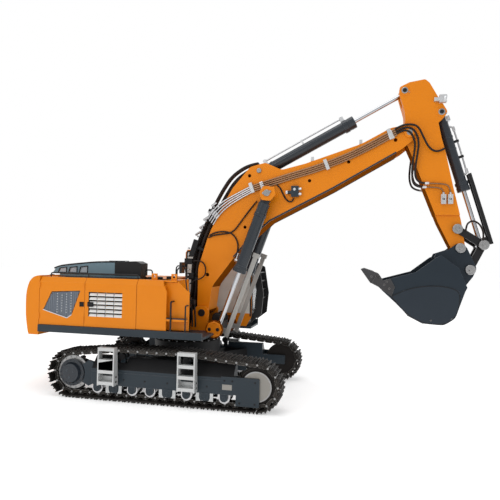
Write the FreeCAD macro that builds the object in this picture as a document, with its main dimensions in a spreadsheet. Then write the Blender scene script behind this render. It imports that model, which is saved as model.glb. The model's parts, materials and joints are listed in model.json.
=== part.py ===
"""Tracked hydraulic excavator, a 1:14 radio-controlled scale model.

X points forward, Y to the machine's left and Z up. All sizes are in millimetres. The parts are drawn in
machine coordinates, with Z = 0 on the ground, and every placement then moves them back by frame_x, so
that the origin is on the ground under the middle of the whole machine.
"""
import FreeCAD, Part
import os
from math import acos, atan2, cos, degrees, hypot, pi, radians, sin

Vector = FreeCAD.Vector

SIZES = {
    # whole machine
    "frame_x": 132.03, "swing_x": 7, "half_body": 120,
    # tracks
    "track_y": 117.5, "sprocket_x": -158, "idler_x": 170, "wheel_z": 41, "pin_radius": 32.5,
    "carrier_rear_x": -66, "carrier_front_x": 50, "carrier_pin_z": 83.5, "shoe_count": 50,
    "shoe_width": 41, "shoe_length": 16.4, "shoe_inner": 4, "shoe_outer": 6, "grouser_tip": 8.5,
    "link_gap": 6, "link_thick": 3, "link_depth": 3.5, "roller_tread": 7, "roller_flange": 9.8,
    "roller_count": 8, "roller_first_x": -108, "roller_pitch": 32.1, "roller_z": 19.3,
    "tow_eye": 3, "beam_half": 14.5, "beam_low": 25, "beam_high": 52, "ladder_y": 150, "ladder_width": 30,
    # swing drive
    "gear_module": 1.5, "ring_teeth": 72, "pinion_teeth": 12, "gear_low": 92.5, "gear_high": 104,
    "spigot_radius": 45, "run_fit": 0.05,
    # upper structure
    "deck_low": 107.3, "deck_high": 111.3, "rail_high": 119.5, "body_top": 205, "chamfer_low": 196,
    "body_rear": -232, "door_split": -142.5, "door_front": -44.6, "panel_front": 10, "wall": 3,
    "deck_front": 46, "boom_well": 34, "hood_half": 62, "hood_rear": -247, "hood_split": -117,
    "hood_front": -65, "hood_box": 33,
    "cab_inner": 55, "cab_outer": 118.5, "cab_rear": -22, "cab_front": 118, "cab_roof": 261,
    # boom, stick and bucket
    "boom_half": 26, "boom_plate": 3, "stick_half": 20, "stick_plate": 3.5, "cylinder_y": 40,
    "boom_pin": 5, "link_pin": 4, "bucket_half": 52, "bucket_plate": 3.5, "ear_inner": 17, "ear_outer": 21,
}

# pivots of the attachment as (x, z)
BOOM_FOOT = (43.8, 143.7)
CYLINDER_FOOT = (77.5, 116.0)
CYLINDER_HEAD = (164.5, 360.3)
STICK_BASE = (144.7, 404.7)
STICK_PIVOT = (405.0, 465.0)
STICK_ROD = (396.5, 539.5)
BUCKET_BASE = (457.0, 499.8)
IDLER_PIN = (484.0, 301.5)
BUCKET_PIN = (489.0, 269.5)
LINK_TOP = (525.0, 275.0)
LINK_LOW = (504.6, 233.5)

doc = FreeCAD.newDocument("excavator")
sheet = doc.addObject("Spreadsheet::Sheet", "Sizes")
for row, (alias, number) in enumerate(SIZES.items(), start=1):
    sheet.set(f"A{row}", alias)
    sheet.set(f"B{row}", str(number))
    sheet.setAlias(f"B{row}", alias)
doc.recompute()

subparts = []


def size(alias):
    """A driving dimension, read from the sheet."""
    return float(sheet.get(alias))


def expression(text):
    """Write the sheet's aliases in an expression with the sheet's name before them."""
    if not isinstance(text, str):
        return str(text)
    words = text.replace("(", " ( ").replace(")", " ) ").split()
    return " ".join(f"Sizes.{word}" if word in SIZES else word for word in words)


def keep(obj, label):
    """Name a finished sub-part."""
    obj.Label = label
    subparts.append(obj)
    return obj


def solid_feature(label, shape):
    """A sub-part whose shape no sketch or primitive fits."""
    feature = doc.addObject("Part::Feature", label)
    feature.Shape = shape
    return keep(feature, label)


# ---------------------------------------------------------------- primitives tied to the sheet
def block(x, y, z, name="block"):
    """A box between pairs of limits, each a number or an expression in the sheet's names."""
    obj = doc.addObject("Part::Box", name)
    for prop, place, (low, high) in zip(("Length", "Width", "Height"), "xyz", (x, y, z)):
        obj.setExpression(prop, f"({expression(high)}) - ({expression(low)})")
        obj.setExpression(f"Placement.Base.{place}", expression(low))
    return obj


def round_bar(start, axis, radius, length, name="bar"):
    """A cylinder tied to the sheet, from a start point along the named axis."""
    obj = doc.addObject("Part::Cylinder", name)
    obj.setExpression("Radius", expression(radius))
    obj.setExpression("Height", expression(length))
    turn = {"X": FreeCAD.Rotation(Vector(0, 1, 0), 90), "Y": FreeCAD.Rotation(Vector(1, 0, 0), -90),
            "Z": FreeCAD.Rotation()}[axis]
    obj.Placement = FreeCAD.Placement(Vector(0, 0, 0), turn)
    for place, amount in zip("xyz", start):
        obj.setExpression(f"Placement.Base.{place}", expression(amount))
    return obj


def pin_bar(pivot, radius, half_length, name="pin"):
    """A cross pin through a pivot, centred on the machine's middle plane."""
    return round_bar((pivot[0], f"-1 * ( {half_length} )", pivot[1]), "Y", radius,
                     f"2 * ( {half_length} )", name)


def fuse(parts, name="fuse"):
    """Join objects into one."""
    obj = doc.addObject("Part::MultiFuse", name)
    obj.Shapes = parts
    return obj


def group(parts, name="group"):
    """Keep separate solids together in one sub-part."""
    obj = doc.addObject("Part::Compound", name)
    obj.Links = parts
    return obj


# ---------------------------------------------------------------- sketched plates
def outline_edges(points):
    """Line and arc geometry round a closed outline of (x, z) or (x, z, corner radius) points."""
    corners = []
    for i, point in enumerate(points):
        here = Vector(point[0], point[1], 0)
        radius = point[2] if len(point) > 2 else 0
        to_last = (Vector(*points[i - 1][:2], 0) - here).normalize()
        to_next = (Vector(*points[(i + 1) % len(points)][:2], 0) - here).normalize()
        if radius == 0:
            corners.append((here, None, here))
            continue
        half = to_last.getAngle(to_next) / 2
        reach = radius * cos(half) / sin(half)
        middle = (to_last + to_next).normalize() * (radius / sin(half))
        top = here + middle - Vector(middle).normalize() * radius
        corners.append((here + to_last * reach, top, here + to_next * reach))
    edges = []
    for (_, _, leave), (arrive, top, go) in zip(corners[-1:] + corners[:-1], corners):
        edges.append(Part.LineSegment(leave, arrive))
        if top is not None:
            edges.append(Part.Arc(arrive, top, go))
    return edges


def plate(points, width, middle=0, holes=(), name="plate"):
    """A pad of an XZ outline, width thick about the plane y = middle; holes are (x, z, radius)."""
    body = doc.addObject("PartDesign::Body", name)
    sketch = body.newObject("Sketcher::SketchObject", name + "_outline")
    plane = [item for item in body.Origin.OriginFeatures if item.Role == "XZ_Plane"][0]
    sketch.AttachmentSupport = (plane, [""])
    sketch.MapMode = "FlatFace"
    sketch.addGeometry(outline_edges(points), False)
    for x, z, radius in holes:
        sketch.addGeometry(Part.Circle(Vector(x, z, 0), Vector(0, 0, 1), radius), False)
    pad = body.newObject("PartDesign::Pad", name + "_pad")
    pad.Profile = sketch
    pad.Midplane = True
    pad.setExpression("Length", expression(width))
    body.setExpression("Placement.Base.y", expression(middle))
    sketch.Visibility = False
    return body


def twin_plates(points, width, middle, holes=(), name="plate"):
    """The same plate on both sides of the middle plane."""
    return [plate(points, width, f"{side} * ( {middle} )", holes, name) for side in (-1, 1)]


def revolve(points, pivot, name="wheel"):
    """A turned part about a cross axis; points are (radius, y) pairs."""
    body = doc.addObject("PartDesign::Body", name)
    sketch = body.newObject("Sketcher::SketchObject", name + "_profile")
    plane = [item for item in body.Origin.OriginFeatures if item.Role == "XY_Plane"][0]
    sketch.AttachmentSupport = (plane, [""])
    sketch.MapMode = "FlatFace"
    sketch.addGeometry(outline_edges(points), False)
    turned = body.newObject("PartDesign::Revolution", name + "_turned")
    turned.Profile = sketch
    turned.ReferenceAxis = (sketch, ["V_Axis"])
    turned.Angle = 360
    body.setExpression("Placement.Base.x", expression(pivot[0]))
    body.setExpression("Placement.Base.z", expression(pivot[1]))
    sketch.Visibility = False
    return body


# ---------------------------------------------------------------- free shapes
def prism(points, low, high):
    """An XZ outline stretched along Y from low to high."""
    corners = [Vector(x, low, z) for x, z in points]
    face = Part.Face(Part.makePolygon(corners + corners[:1]))
    return face.extrude(Vector(0, high - low, 0))


def cross_prism(points, low, high):
    """A YZ outline stretched along X from low to high."""
    corners = [Vector(low, y, z) for y, z in points]
    face = Part.Face(Part.makePolygon(corners + corners[:1]))
    return face.extrude(Vector(high - low, 0, 0))


def upright_prism(points, low, high):
    """An XY outline stretched along Z from low to high."""
    corners = [Vector(x, y, low) for x, y in points]
    face = Part.Face(Part.makePolygon(corners + corners[:1]))
    return face.extrude(Vector(0, 0, high - low))


def box(x, y, z):
    """A plain box between limits."""
    return Part.makeBox(x[1] - x[0], y[1] - y[0], z[1] - z[0], Vector(x[0], y[0], z[0]))


def rod(start, end, radius):
    """A round bar from one point to another."""
    start = Vector(*start)
    run = Vector(*end) - start
    return Part.makeCylinder(radius, run.Length, start, run)


def bent_bar(points, radius, bend):
    """A round bar through a list of points, straight runs joined by tangent arcs."""
    spots = [Vector(*point) for point in points]
    edges = []
    last = spots[0]
    for before, here, after in zip(spots, spots[1:], spots[2:]):
        back = (before - here).normalize()
        ahead = (after - here).normalize()
        half = back.getAngle(ahead) / 2
        reach = bend / (sin(half) / cos(half))
        middle = (back + ahead).normalize()
        top = here + middle * (bend / sin(half) - bend)
        start, stop = here + back * reach, here + ahead * reach
        edges.append(Part.makeLine(last, start))
        edges.append(Part.Arc(start, top, stop).toShape())
        last = stop
    edges.append(Part.makeLine(last, spots[-1]))
    path = Part.Wire(edges)
    ring = Part.Wire(Part.makeCircle(radius, spots[0], spots[1] - spots[0]))
    return path.makePipeShell([ring], True, False)


def axis_box(start, end, along, off, across):
    """A box lying along the line start-end (x, z pairs): limits along it, off it and across (y)."""
    run = hypot(end[0] - start[0], end[1] - start[1])
    ux, uz = (end[0] - start[0]) / run, (end[1] - start[1]) / run
    corners = [(a, b) for a, b in ((along[0], off[0]), (along[1], off[0]), (along[1], off[1]),
                                   (along[0], off[1]))]
    points = [(start[0] + ux * a + uz * b, start[1] + uz * a - ux * b) for a, b in corners]
    return prism(points, *across)


def on_line(start, end, distance, y=0.0):
    """The point at a distance along a line between two (x, z) pairs, at the given y."""
    run = hypot(end[0] - start[0], end[1] - start[1])
    share = distance / run
    return (start[0] + (end[0] - start[0]) * share, y, start[1] + (end[1] - start[1]) * share)


def both_sides(shape):
    """The shape and its mirror image across the middle plane."""
    return [shape, shape.mirror(Vector(0, 0, 0), Vector(0, 1, 0))]


# ---------------------------------------------------------------- tracks
def track_path():
    """The closed pin line as (length, function of distance) pieces, giving x, z and travel angle."""
    radius, wheel_z = size("pin_radius"), size("wheel_z")
    top = size("carrier_pin_z")
    rear, front = (size("sprocket_x"), wheel_z), (size("idler_x"), wheel_z)
    carrier_front, carrier_rear = (size("carrier_front_x"), top), (size("carrier_rear_x"), top)

    def tangent(wheel, point, side):
        away = hypot(point[0] - wheel[0], point[1] - wheel[1])
        return atan2(point[1] - wheel[1], point[0] - wheel[0]) + side * acos(radius / away)

    def on_wheel(wheel, angle):
        return wheel[0] + radius * cos(angle), wheel[1] + radius * sin(angle)

    def line(start, end):
        run = hypot(end[0] - start[0], end[1] - start[1])
        heading = atan2(end[1] - start[1], end[0] - start[0])
        return run, lambda d: (start[0] + cos(heading) * d, start[1] + sin(heading) * d, heading)

    def arc(wheel, begin, end):
        return radius * (end - begin), lambda d: (*on_wheel(wheel, begin + d / radius),
                                                  begin + d / radius + pi / 2)

    leave = tangent(front, carrier_front, -1)
    arrive = tangent(rear, carrier_rear, 1)
    return [line(on_wheel(rear, -pi / 2), on_wheel(front, -pi / 2)), arc(front, -pi / 2, leave),
            line(on_wheel(front, leave), carrier_front), line(carrier_front, carrier_rear),
            line(carrier_rear, on_wheel(rear, arrive)), arc(rear, arrive, 3 * pi / 2)]


def track_stations():
    """Where each link sits: x, z and travel angle, evenly spaced round the pin line."""
    pieces = track_path()
    count = int(size("shoe_count"))
    pitch = sum(run for run, _ in pieces) / count
    stations = []
    for i in range(count):
        distance = (i + 0.5) * pitch
        for run, place in pieces:
            if distance <= run:
                break
            distance -= run
        stations.append(place(distance))
    return stations


def around_track(profile, spans):
    """The profile, in (along, outward) pairs, at every station and over every y span."""
    solids = []
    for x, z, heading in track_stations():
        points = [(x + cos(heading) * u + sin(heading) * v, z + sin(heading) * u - cos(heading) * v)
                  for u, v in profile]
        solids += [prism(points, low, high) for low, high in spans]
    return Part.makeCompound(solids)


def shoe_profile():
    """A track shoe seen from the end: a flat plate with three grousers."""
    half, tip = size("shoe_length") / 2, size("grouser_tip")
    inner, outer = size("shoe_inner"), size("shoe_outer")
    root, crest = 1.1, 0.6
    points = [(-half, inner), (-half, outer)]
    for middle in (-half + 1.6, 0, half - 1.6):
        points += [(middle - root, outer), (middle - crest, tip), (middle + crest, tip),
                   (middle + root, outer)]
    return points + [(half, outer), (half, inner)]


def link_profile():
    """A chain link seen from the side, narrower on its wheel side."""
    half = size("shoe_length") / 2 + 0.2
    low = half - 1.1
    return [(-half, size("shoe_inner")), (half, size("shoe_inner")), (half, 0), (low, -size("link_depth")),
            (-low, -size("link_depth")), (-half, 0)]


def build_tracks(side, middle):
    """Shoes and chain links of one track."""
    half = size("shoe_width") / 2
    gap, thick = size("link_gap"), size("link_thick")
    shoes = around_track(shoe_profile(), [(middle - half, middle + half)])
    below = box((-260, 260), (middle - half - 1, middle + half + 1), (-5, 0))
    solid_feature(f"{side}_track_shoes", Part.makeCompound([shoe.cut(below) for shoe in shoes.Solids]))
    spans = [(middle - gap - thick, middle - gap), (middle + gap, middle + gap + thick)]
    solid_feature(f"{side}_track_links", around_track(link_profile(), spans))


def build_track_frame(side, middle):
    """The beam between the wheels: box, lower cheeks, roller guards, idler yoke and roller posts."""
    out = 1 if middle > 0 else -1
    half, low, high = size("beam_half"), size("beam_low"), size("beam_high")
    floor, ridge = 30, 71
    top = [(middle - out * half, floor), (middle + out * half, floor), (middle + out * half, high),
           (middle - out * 2, ridge), (middle - out * half, ridge)]
    rear, front = -118, 132
    solid = cross_prism(top, rear, front)
    for face in (-1, 1):
        inner, outer = sorted((middle + face * 12, middle + face * half))
        solid = solid.fuse(box((rear, front), (inner, outer), (low, floor)))
        guard_low, guard_high = 13, low
        for index in (1, 4, 6):
            x = size("roller_first_x") + index * size("roller_pitch")
            solid = solid.fuse(box((x - 14, x + 14), (inner, outer), (guard_low, guard_high)))
    yoke = [(112, 26), (137, 26), (137, 9), (174, 9), (175, 10), (175, 53), (173, 54.5), (112, 54.5)]
    solid = solid.fuse(prism(yoke, *sorted((middle + out * 13.6, middle + out * 16.4))))
    arm_low, arm_high = sorted((middle - out * 11, middle - out * 14.5))
    solid = solid.fuse(box((130, size("idler_x") + 9), (arm_low, arm_high), (32, 50)))
    axle_low, axle_high = sorted((middle - out * 11.5, middle + out * 9))
    solid = solid.fuse(rod((size("idler_x"), axle_low, size("wheel_z")),
                           (size("idler_x"), axle_high, size("wheel_z")), 5))
    for x in (size("carrier_rear_x"), size("carrier_front_x")):
        solid = solid.cut(box((x - 9, x + 9), (middle - 15, middle + 15), (62, ridge + 1)))
        solid = solid.fuse(box((x - 4, x + 4), (middle - 3, middle + 3), (high, 77)))
    solid_feature(f"{side}_track_frame", solid.removeSplitter())


def build_sprocket(side, middle):
    """Toothed drive ring with its hub and outer cap, bored to run on the travel motor."""
    out = 1 if middle > 0 else -1
    x, z = size("sprocket_x"), size("wheel_z")
    teeth, root, tip = 12, 25.5, 31.5
    points = []
    for i in range(teeth):
        for offset, reach in ((-0.30, root), (-0.14, tip), (0.14, tip), (0.30, root)):
            angle = 2 * pi * (i + offset) / teeth
            points.append((x + reach * cos(angle), z + reach * sin(angle)))
    ring = prism(points, middle - 5, middle + 5)
    hub = rod((x, middle, z), (x, middle + out * 11, z), 23)
    cap = Part.makeCone(18, 15.5, 6, Vector(x, middle + out * 11, z), Vector(0, out, 0))
    bore = rod((x, middle - out * 6, z), (x, middle + out * 6, z), 14 + size("run_fit"))
    solid_feature(f"{side}_sprocket", ring.fuse(hub).fuse(cap).cut(bore).removeSplitter())


def build_idler(side, middle):
    """Front wheel: two treads, a centre flange between the chain's rails, and a flat outer disc."""
    out = 1 if middle > 0 else -1
    bore = size("link_pin") + 1 + size("run_fit")
    tread, flange = 28.6, 31.5
    profile = [(bore, -9.5), (tread, -9.5), (tread, -5.4), (flange, -5.4), (flange, 5.4), (tread, 5.4),
               (tread, 9.5), (bore, 9.5)]
    wheel = revolve(profile, ("idler_x", "wheel_z"), f"{side}_idler_wheel")
    wheel.setExpression("Placement.Base.y", expression(f"{out} * track_y"))
    disc = round_bar(("idler_x", f"{out} * ( track_y + {11.1 if out > 0 else 13.0} )", "wheel_z"), "Y",
                     24, 1.9)
    keep(fuse([wheel, disc_spacer(out), disc]), f"{side}_idler")


def disc_spacer(out):
    """The boss between an idler's wheel and its outer disc."""
    low = 9.4 if out > 0 else 11.2
    return round_bar(("idler_x", f"{out} * ( track_y + {low} )", "wheel_z"), "Y", 12, 1.8)


def build_rollers():
    """Lower rollers with outer flanges, and upper rollers on their posts, for both tracks."""
    tread, flange = size("roller_tread"), size("roller_flange")
    solids = []
    for middle in (-size("track_y"), size("track_y")):
        for i in range(int(size("roller_count"))):
            x, z = size("roller_first_x") + i * size("roller_pitch"), size("roller_z")
            roller = rod((x, middle - 11.5, z), (x, middle + 11.5, z), tread)
            for face in (-1, 1):
                roller = roller.fuse(rod((x, middle + face * 9.3, z), (x, middle + face * 11.5, z), flange))
            solids.append(roller)
        for x in (size("carrier_rear_x"), size("carrier_front_x")):
            z = size("carrier_pin_z") - size("link_depth") - 0.3 - 6
            solids += [rod((x, middle + face * 3, z), (x, middle + face * 9.6, z), 6) for face in (-1, 1)]
    solid_feature("track_rollers", Part.makeCompound(solids))


def build_travel_motors():
    """Inner motors with the drums that carry the sprockets, bolted to the beams."""
    x, z = size("sprocket_x"), size("wheel_z")
    solids = []
    for out in (-1, 1):
        middle = out * size("track_y")
        case = rod((x, middle - out * 31, z), (x, middle - out * 8, z), 17)
        drum = rod((x, middle - out * 9, z), (x, middle + out * 5.5, z), 14)
        arm = box((x, -110), sorted((middle - out * size("beam_half"), middle - out * 22)), (z - 9, z + 9))
        solids.append(case.fuse(drum).fuse(arm).removeSplitter())
    solid_feature("travel_motors", Part.makeCompound(solids))


def build_ladders():
    """Four access ladders: splayed cheeks and four rungs, with lugs to the track frames."""
    outer, width = size("ladder_y"), size("ladder_width")
    solids = []
    for x in (-97.5, 43):
        cheek = cross_prism([(-134, 28), (-139, 91), (-outer, 91), (-outer, 28)], x, x + 2)
        ladder = cheek.fuse(cheek.translated(Vector(width - 2, 0, 0)))
        for rung_z in (29.5, 48.5, 66, 85.5):
            ladder = ladder.fuse(box((x + 1, x + width - 1), (-outer, -140), (rung_z, rung_z + 5.4)))
        ladder = ladder.fuse(box((x + 1, x + width - 1), (-136.5, -132), (30, 42)))
        solids += both_sides(ladder.removeSplitter())
    solid_feature("access_ladders", Part.makeCompound(solids))


def build_cross_frame():
    """Centre drum with four legs reaching the track frames, and a tow eye at each end."""
    swing_x, inner = size("swing_x"), size("track_y") - size("beam_half")
    drum = Part.makeCylinder(62, 40, Vector(swing_x, 0, 52))
    for sign_x in (-1, 1):
        for sign_y in (-1, 1):
            near, far = swing_x + sign_x * 18, swing_x + sign_x * 85
            points = [(near, sign_y * 20), (near + sign_x * 26, sign_y * 20),
                      (far + sign_x * 8, sign_y * inner),
                      (far - sign_x * 38, sign_y * inner)]
            drum = drum.fuse(upright_prism(points, 34, 60))
    drum = drum.fuse(box((swing_x - 42, swing_x + 42), (-60, 60), (34, 56)))
    for sign_x in (-1, 1):
        eye_x = swing_x + sign_x * 72
        lug = box(sorted((swing_x + sign_x * 40, swing_x + sign_x * 80)), (-6, 6), (40, 48))
        drum = drum.fuse(lug.cut(rod((eye_x, 0, 39), (eye_x, 0, 49), size("tow_eye"))))
    solid_feature("cross_frame", drum.removeSplitter())


def gear_outline(teeth, phase):
    """A gear's outline: straight-sided teeth, a little narrow for running clearance."""
    module = size("gear_module")
    pitch = module * teeth / 2
    steps = ((-0.29, pitch - 1.3 * module), (-0.12, pitch + 0.85 * module), (0.12, pitch + 0.85 * module),
             (0.29, pitch - 1.3 * module))
    points = []
    for i in range(teeth):
        for offset, reach in steps:
            angle = 2 * pi * (i + offset + phase) / teeth
            points.append((reach * cos(angle), reach * sin(angle)))
    return points


def build_swing_drive():
    """Fixed ring gear on the cross frame and the pinion that rolls round it."""
    swing_x, low, high = size("swing_x"), size("gear_low"), size("gear_high")
    ring = upright_prism(gear_outline(int(size("ring_teeth")), 0), low, high)
    bore = Part.makeCylinder(size("spigot_radius") + size("run_fit"), 20, Vector(0, 0, low - 4))
    ring = ring.cut(bore)
    ring.translate(Vector(swing_x, 0, 0))
    flange = Part.makeCylinder(60, 0.5, Vector(swing_x, 0, low - 0.5)).cut(
        Part.makeCylinder(46, 2, Vector(swing_x, 0, low - 1)))
    solid_feature("slew_gear", ring.fuse(flange).removeSplitter())
    reach = size("gear_module") * (size("ring_teeth") + size("pinion_teeth")) / 2
    foot = low + 2.2
    pinion = upright_prism(gear_outline(int(size("pinion_teeth")), 0.5), foot, high - 1)
    pinion = pinion.fuse(Part.makeCylinder(3, size("deck_high") + 4 - foot, Vector(0, 0, foot)))
    pinion.translate(Vector(swing_x - reach, 0, 0))
    solid_feature("swing_pinion", pinion.removeSplitter())
    motor = Part.makeCylinder(13, 44, Vector(swing_x - reach, 0, size("deck_high")))
    boss = Part.makeCylinder(3 + size("run_fit"), 6, Vector(swing_x - reach, 0, size("deck_high") - 1))
    solid_feature("swing_motor", motor.cut(boss))
    return swing_x - reach


def build_bolts():
    """Bolts round the slewing ring."""
    swing_x = size("swing_x")
    solids = []
    for i in range(24):
        angle = 2 * pi * i / 24
        solids.append(Part.makeCylinder(1.5, 1.6, Vector(swing_x + 58 * cos(angle), 58 * sin(angle), 92.5)))
    solid_feature("slew_bolts", Part.makeCompound(solids))


# ---------------------------------------------------------------- upper structure
def build_upper_frame(pinion_x):
    """Slewing platform: floor plate, edge rails, slewing spigot, boom and cylinder brackets."""
    low, high, rail = size("deck_low"), size("deck_high"), size("rail_high")
    half, rear = size("half_body") - 1, size("body_rear")
    outline = [(rear, -half), (74, -half), (74, -54), (66, -54), (66, 54), (118, 54), (118, half),
               (rear, half)]
    floor = upright_prism(outline, low, high)
    floor = floor.fuse(box((rear, 74), (-half - 4, -half + 2), (low, rail)))
    floor = floor.fuse(box((rear, 118), (half - 2, half + 4), (low, high)))
    floor = floor.fuse(box((rear, 118), (size("cab_outer") + 0.3, half + 4), (low, rail)))
    spigot = Part.makeCylinder(size("spigot_radius"), low - size("gear_low") - 1.5,
                               Vector(size("swing_x"), 0, size("gear_low") + 1.5))
    floor = floor.fuse(spigot)
    foot, cylinder = BOOM_FOOT, CYLINDER_FOOT
    inner = size("boom_half") + 1
    tall = [(22, high - 2), (26, 146), (34, 155), (50, 156), (57, 148), (56, 126), (64, high - 2)]
    for out in (-1, 1):
        floor = floor.fuse(prism(tall, *sorted((out * inner, out * (inner + 6)))))
        floor = floor.fuse(rod((73.5, out * 47, 117), (73.5, out * 51, 117), 16))
        floor = floor.fuse(rod((cylinder[0], out * inner, cylinder[1]),
                               (cylinder[0], out * 51, cylinder[1]), 4))
    floor = floor.cut(rod((foot[0], -40, foot[1]), (foot[0], 40, foot[1]), size("boom_pin")))
    shaft = Part.makeCylinder(3 + size("run_fit"), 10, Vector(pinion_x, 0, low - 2))
    solid_feature("upper_frame", floor.cut(shaft).removeSplitter())


def build_counterweight():
    """Barrel-backed cast weight behind the engine bay, lofted across the machine from one side profile."""
    rear, half = size("body_rear") - 0.5, int(size("half_body"))
    top, bottom = 207, 101
    curve = [(0.25, 206), (0.45, 204), (0.62, 200.5), (0.78, 195), (0.89, 187), (0.965, 178), (1, 168),
             (1, 152),
             (0.975, 135), (0.90, 120), (0.80, 106), (0.73, bottom)]
    wires = []
    for y in range(-half, half + 1, half // 4):
        depth = 45 - 18 * (y / half) ** 2
        outline = [(rear, bottom), (rear, top)] + [(rear - share * depth, z) for share, z in curve]
        corners = [Vector(x, y, z) for x, z in outline]
        wires.append(Part.makePolygon(corners + corners[:1]))
    solid_feature("counterweight", Part.makeLoft(wires, True, False))


def build_doors():
    """Two hinged doors and the fixed front panel on the right, each with its opening or step."""
    low, high, top = size("rail_high") + 0.5, size("chamfer_low"), size("body_top") - 0.5
    outer, wall, gap = -size("half_body"), size("wall"), 0.4
    rear, split, front = size("body_rear"), size("door_split"), size("door_front")
    skin = [(outer, low), (outer + wall, low), (outer + wall, high - 1), (outer + 9, top - 2),
            (outer + 9, top),
            (outer + 6, top), (outer, high)]
    rear_door = cross_prism(skin, rear + gap, split - gap)
    screen = prism([(-224, 146), (-176, 133), (-167, 139), (-151, 182), (-208, 179)], outer - 1,
                   outer + wall + 1)
    rear_door = rear_door.cut(screen)
    mesh = prism([(-222.5, 147), (-176, 134.8), (-168.6, 140), (-153.5, 180.5), (-207, 177.5)], outer + 1,
                 outer + 1.8)
    frame = prism([(-225.5, 145), (-175.5, 131.4), (-165.5, 138), (-149, 183.8), (-209, 180.8)],
                  outer + 0.8, outer + 2)
    rear_door = rear_door.fuse(frame.cut(screen)).fuse(mesh)
    for x in (-214, -200, -186, -172):
        rear_door = rear_door.fuse(box((x, x + 1), (outer + 1.4, outer + 2.4), (134, 182)).common(
            prism([(-224, 146), (-176, 133), (-167, 139), (-151, 182), (-208, 179)], outer, outer + 3)))
    latch = box((-151, -147), (outer - 1.2, outer + 1), (155, 162))
    solid_feature("rear_door", rear_door.fuse(latch).removeSplitter())
    louvre_door = cross_prism(skin, split + gap, front - gap)
    louvre_door = louvre_door.cut(box((-134.7, -71), (outer - 1, outer + wall + 1), (138, 180.5)))
    for i in range(6):
        z = 138 + i * 7.2
        slat = cross_prism([(outer + 0.4, z), (outer + 0.4, z + 1.2), (outer + 2.6, z + 4.6),
                            (outer + 2.6, z + 3.4)],
                           -135, -70.7)
        louvre_door = louvre_door.fuse(slat)
    for x in (-119, -103, -87):
        louvre_door = louvre_door.fuse(box((x, x + 1), (outer + 1.5, outer + 2.5), (137.5, 181)))
    latch = box((-134.5, -130), (outer - 1.2, outer + 1), (155.5, 162.5))
    solid_feature("louvre_door", louvre_door.fuse(latch).removeSplitter())
    panel = cross_prism(skin, front + gap, size("panel_front"))
    slope = prism([(0, top + 1), (1, top - 1), (12.5, 181), (15, low - 1), (22, low - 1), (22, top + 1)],
                  outer - 5, outer + 20)
    panel = panel.cut(slope)
    recess = size("deck_front")
    wall_side = [(0, low), (recess, low), (recess, 185), (recess - 19, 201), (0, 201)]
    inner = prism(wall_side, outer + 12, outer + 15)
    ledge = box((6, recess), (outer + 1, outer + 12), (136, 140))
    slanted = [(recess - 3, outer + 12), (recess, outer + 12), (24, -56), (21, -56)]
    nose = upright_prism(slanted, low, 200).common(prism(wall_side, outer, 0))
    behind = upright_prism([(20, outer + 12), (recess, outer + 12), (24, -56), (20, -56)], low, 210)
    lid = prism([(24.5, 204.5), (27, 201), (recess, 185), (recess, 182), (24.5, 200)], outer + 12,
                -56).common(behind)
    post = box((0, 4), (outer + 2, outer + 13), (low, 196))
    for extra in (post, inner, ledge, nose, lid):
        panel = panel.fuse(extra)
    solid_feature("right_front_panel", panel.removeSplitter())


def build_body():
    """Left side panels, inner walls and the top deck with its lifting eyes and hood opening."""
    low, high, top = size("rail_high") + 0.5, size("chamfer_low"), size("body_top") - 0.5
    half, wall, rear = size("half_body"), size("wall"), size("body_rear")
    skin = [(half, low), (half - wall, low), (half - wall, high - 1), (half - 9, top - 2), (half - 9, top),
            (half - 6, top), (half, high)]
    left = cross_prism(skin, rear + 0.4, size("cab_rear") - 4)
    left = left.fuse(box((size("cab_rear") - 7, size("cab_rear") - 4), (size("boom_well") + 2, half - 2),
                         (low, high)))
    solid_feature("left_panels", left.removeSplitter())
    well, front, edge = size("boom_well"), size("deck_front"), half - 9.4
    outline = [(rear + 0.4, -edge), (front - 22, -edge), (20, -56), (20, -well - 4), (-30, -well - 4),
               (-30, 34),
               (size("cab_rear") - 4, 34), (size("cab_rear") - 4, edge), (rear + 0.4, edge)]
    deck = upright_prism(outline, top - 3, top)
    deck = deck.cut(box((-210, size("hood_split") - 5), (-48, 48), (top - 5, top + 2)))
    deck = deck.fuse(box((-33, -30), (-well - 4, 34), (low, top)))
    deck = deck.fuse(box((-33, 20), (-well - 7, -well - 4), (low, top)))
    for x in (-19, 17):
        eye = box((x - 5, x + 5), (-half + 14, -half + 17), (top, top + 11)).cut(
            rod((x, -half + 13, top + 6), (x, -half + 18, top + 6), 2.5))
        deck = deck.fuse(eye)
    solid_feature("top_deck", deck.removeSplitter())


def build_hood():
    """Engine hood: an open-bottomed shell with three windows in each side and a narrow box ahead of it."""
    half, rear, split, front = size("hood_half"), size("hood_rear"), size("hood_split"), size("hood_front")
    near = -size("hood_box")
    side = [(rear, 209), (split, 209), (split, 233), (-149, 233), (-226, 224.5), (rear + 7, 219)]
    inside = [(rear + 4, 204), (split - 3, 204), (split - 3, 230), (-149, 230), (-225, 221.5),
              (rear + 10, 217)]
    box_side = [(split - 1, 209), (front, 209), (front, 231), (front - 10, 235), (split - 1, 233)]
    box_inside = [(split - 4, 204), (front - 3, 204), (front - 3, 229), (front - 11, 232), (split - 4, 230)]
    shell = prism(side, -half, half).fuse(box((rear + 15, split - 2), (-half + 2, half - 2), (205.3, 209)))
    shell = shell.fuse(prism(box_side, -half, near))
    shell = shell.fuse(box((split - 3, front - 2), (-half + 2, near - 2), (205.3, 209)))
    shell = shell.cut(prism(inside, -half + 3, half - 3)).cut(prism(box_inside, -half + 3, near - 3))
    for x in (-236, -214, -192):
        window = prism([(x + 2, 212), (x + 19, 212), (x + 19, 221 + (x + 236) * 0.07),
                        (x + 5, 219 + (x + 236) * 0.07)],
                       -half - 1, half + 1)
        shell = shell.cut(window)
    solid_feature("engine_hood", shell.removeSplitter())


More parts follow.
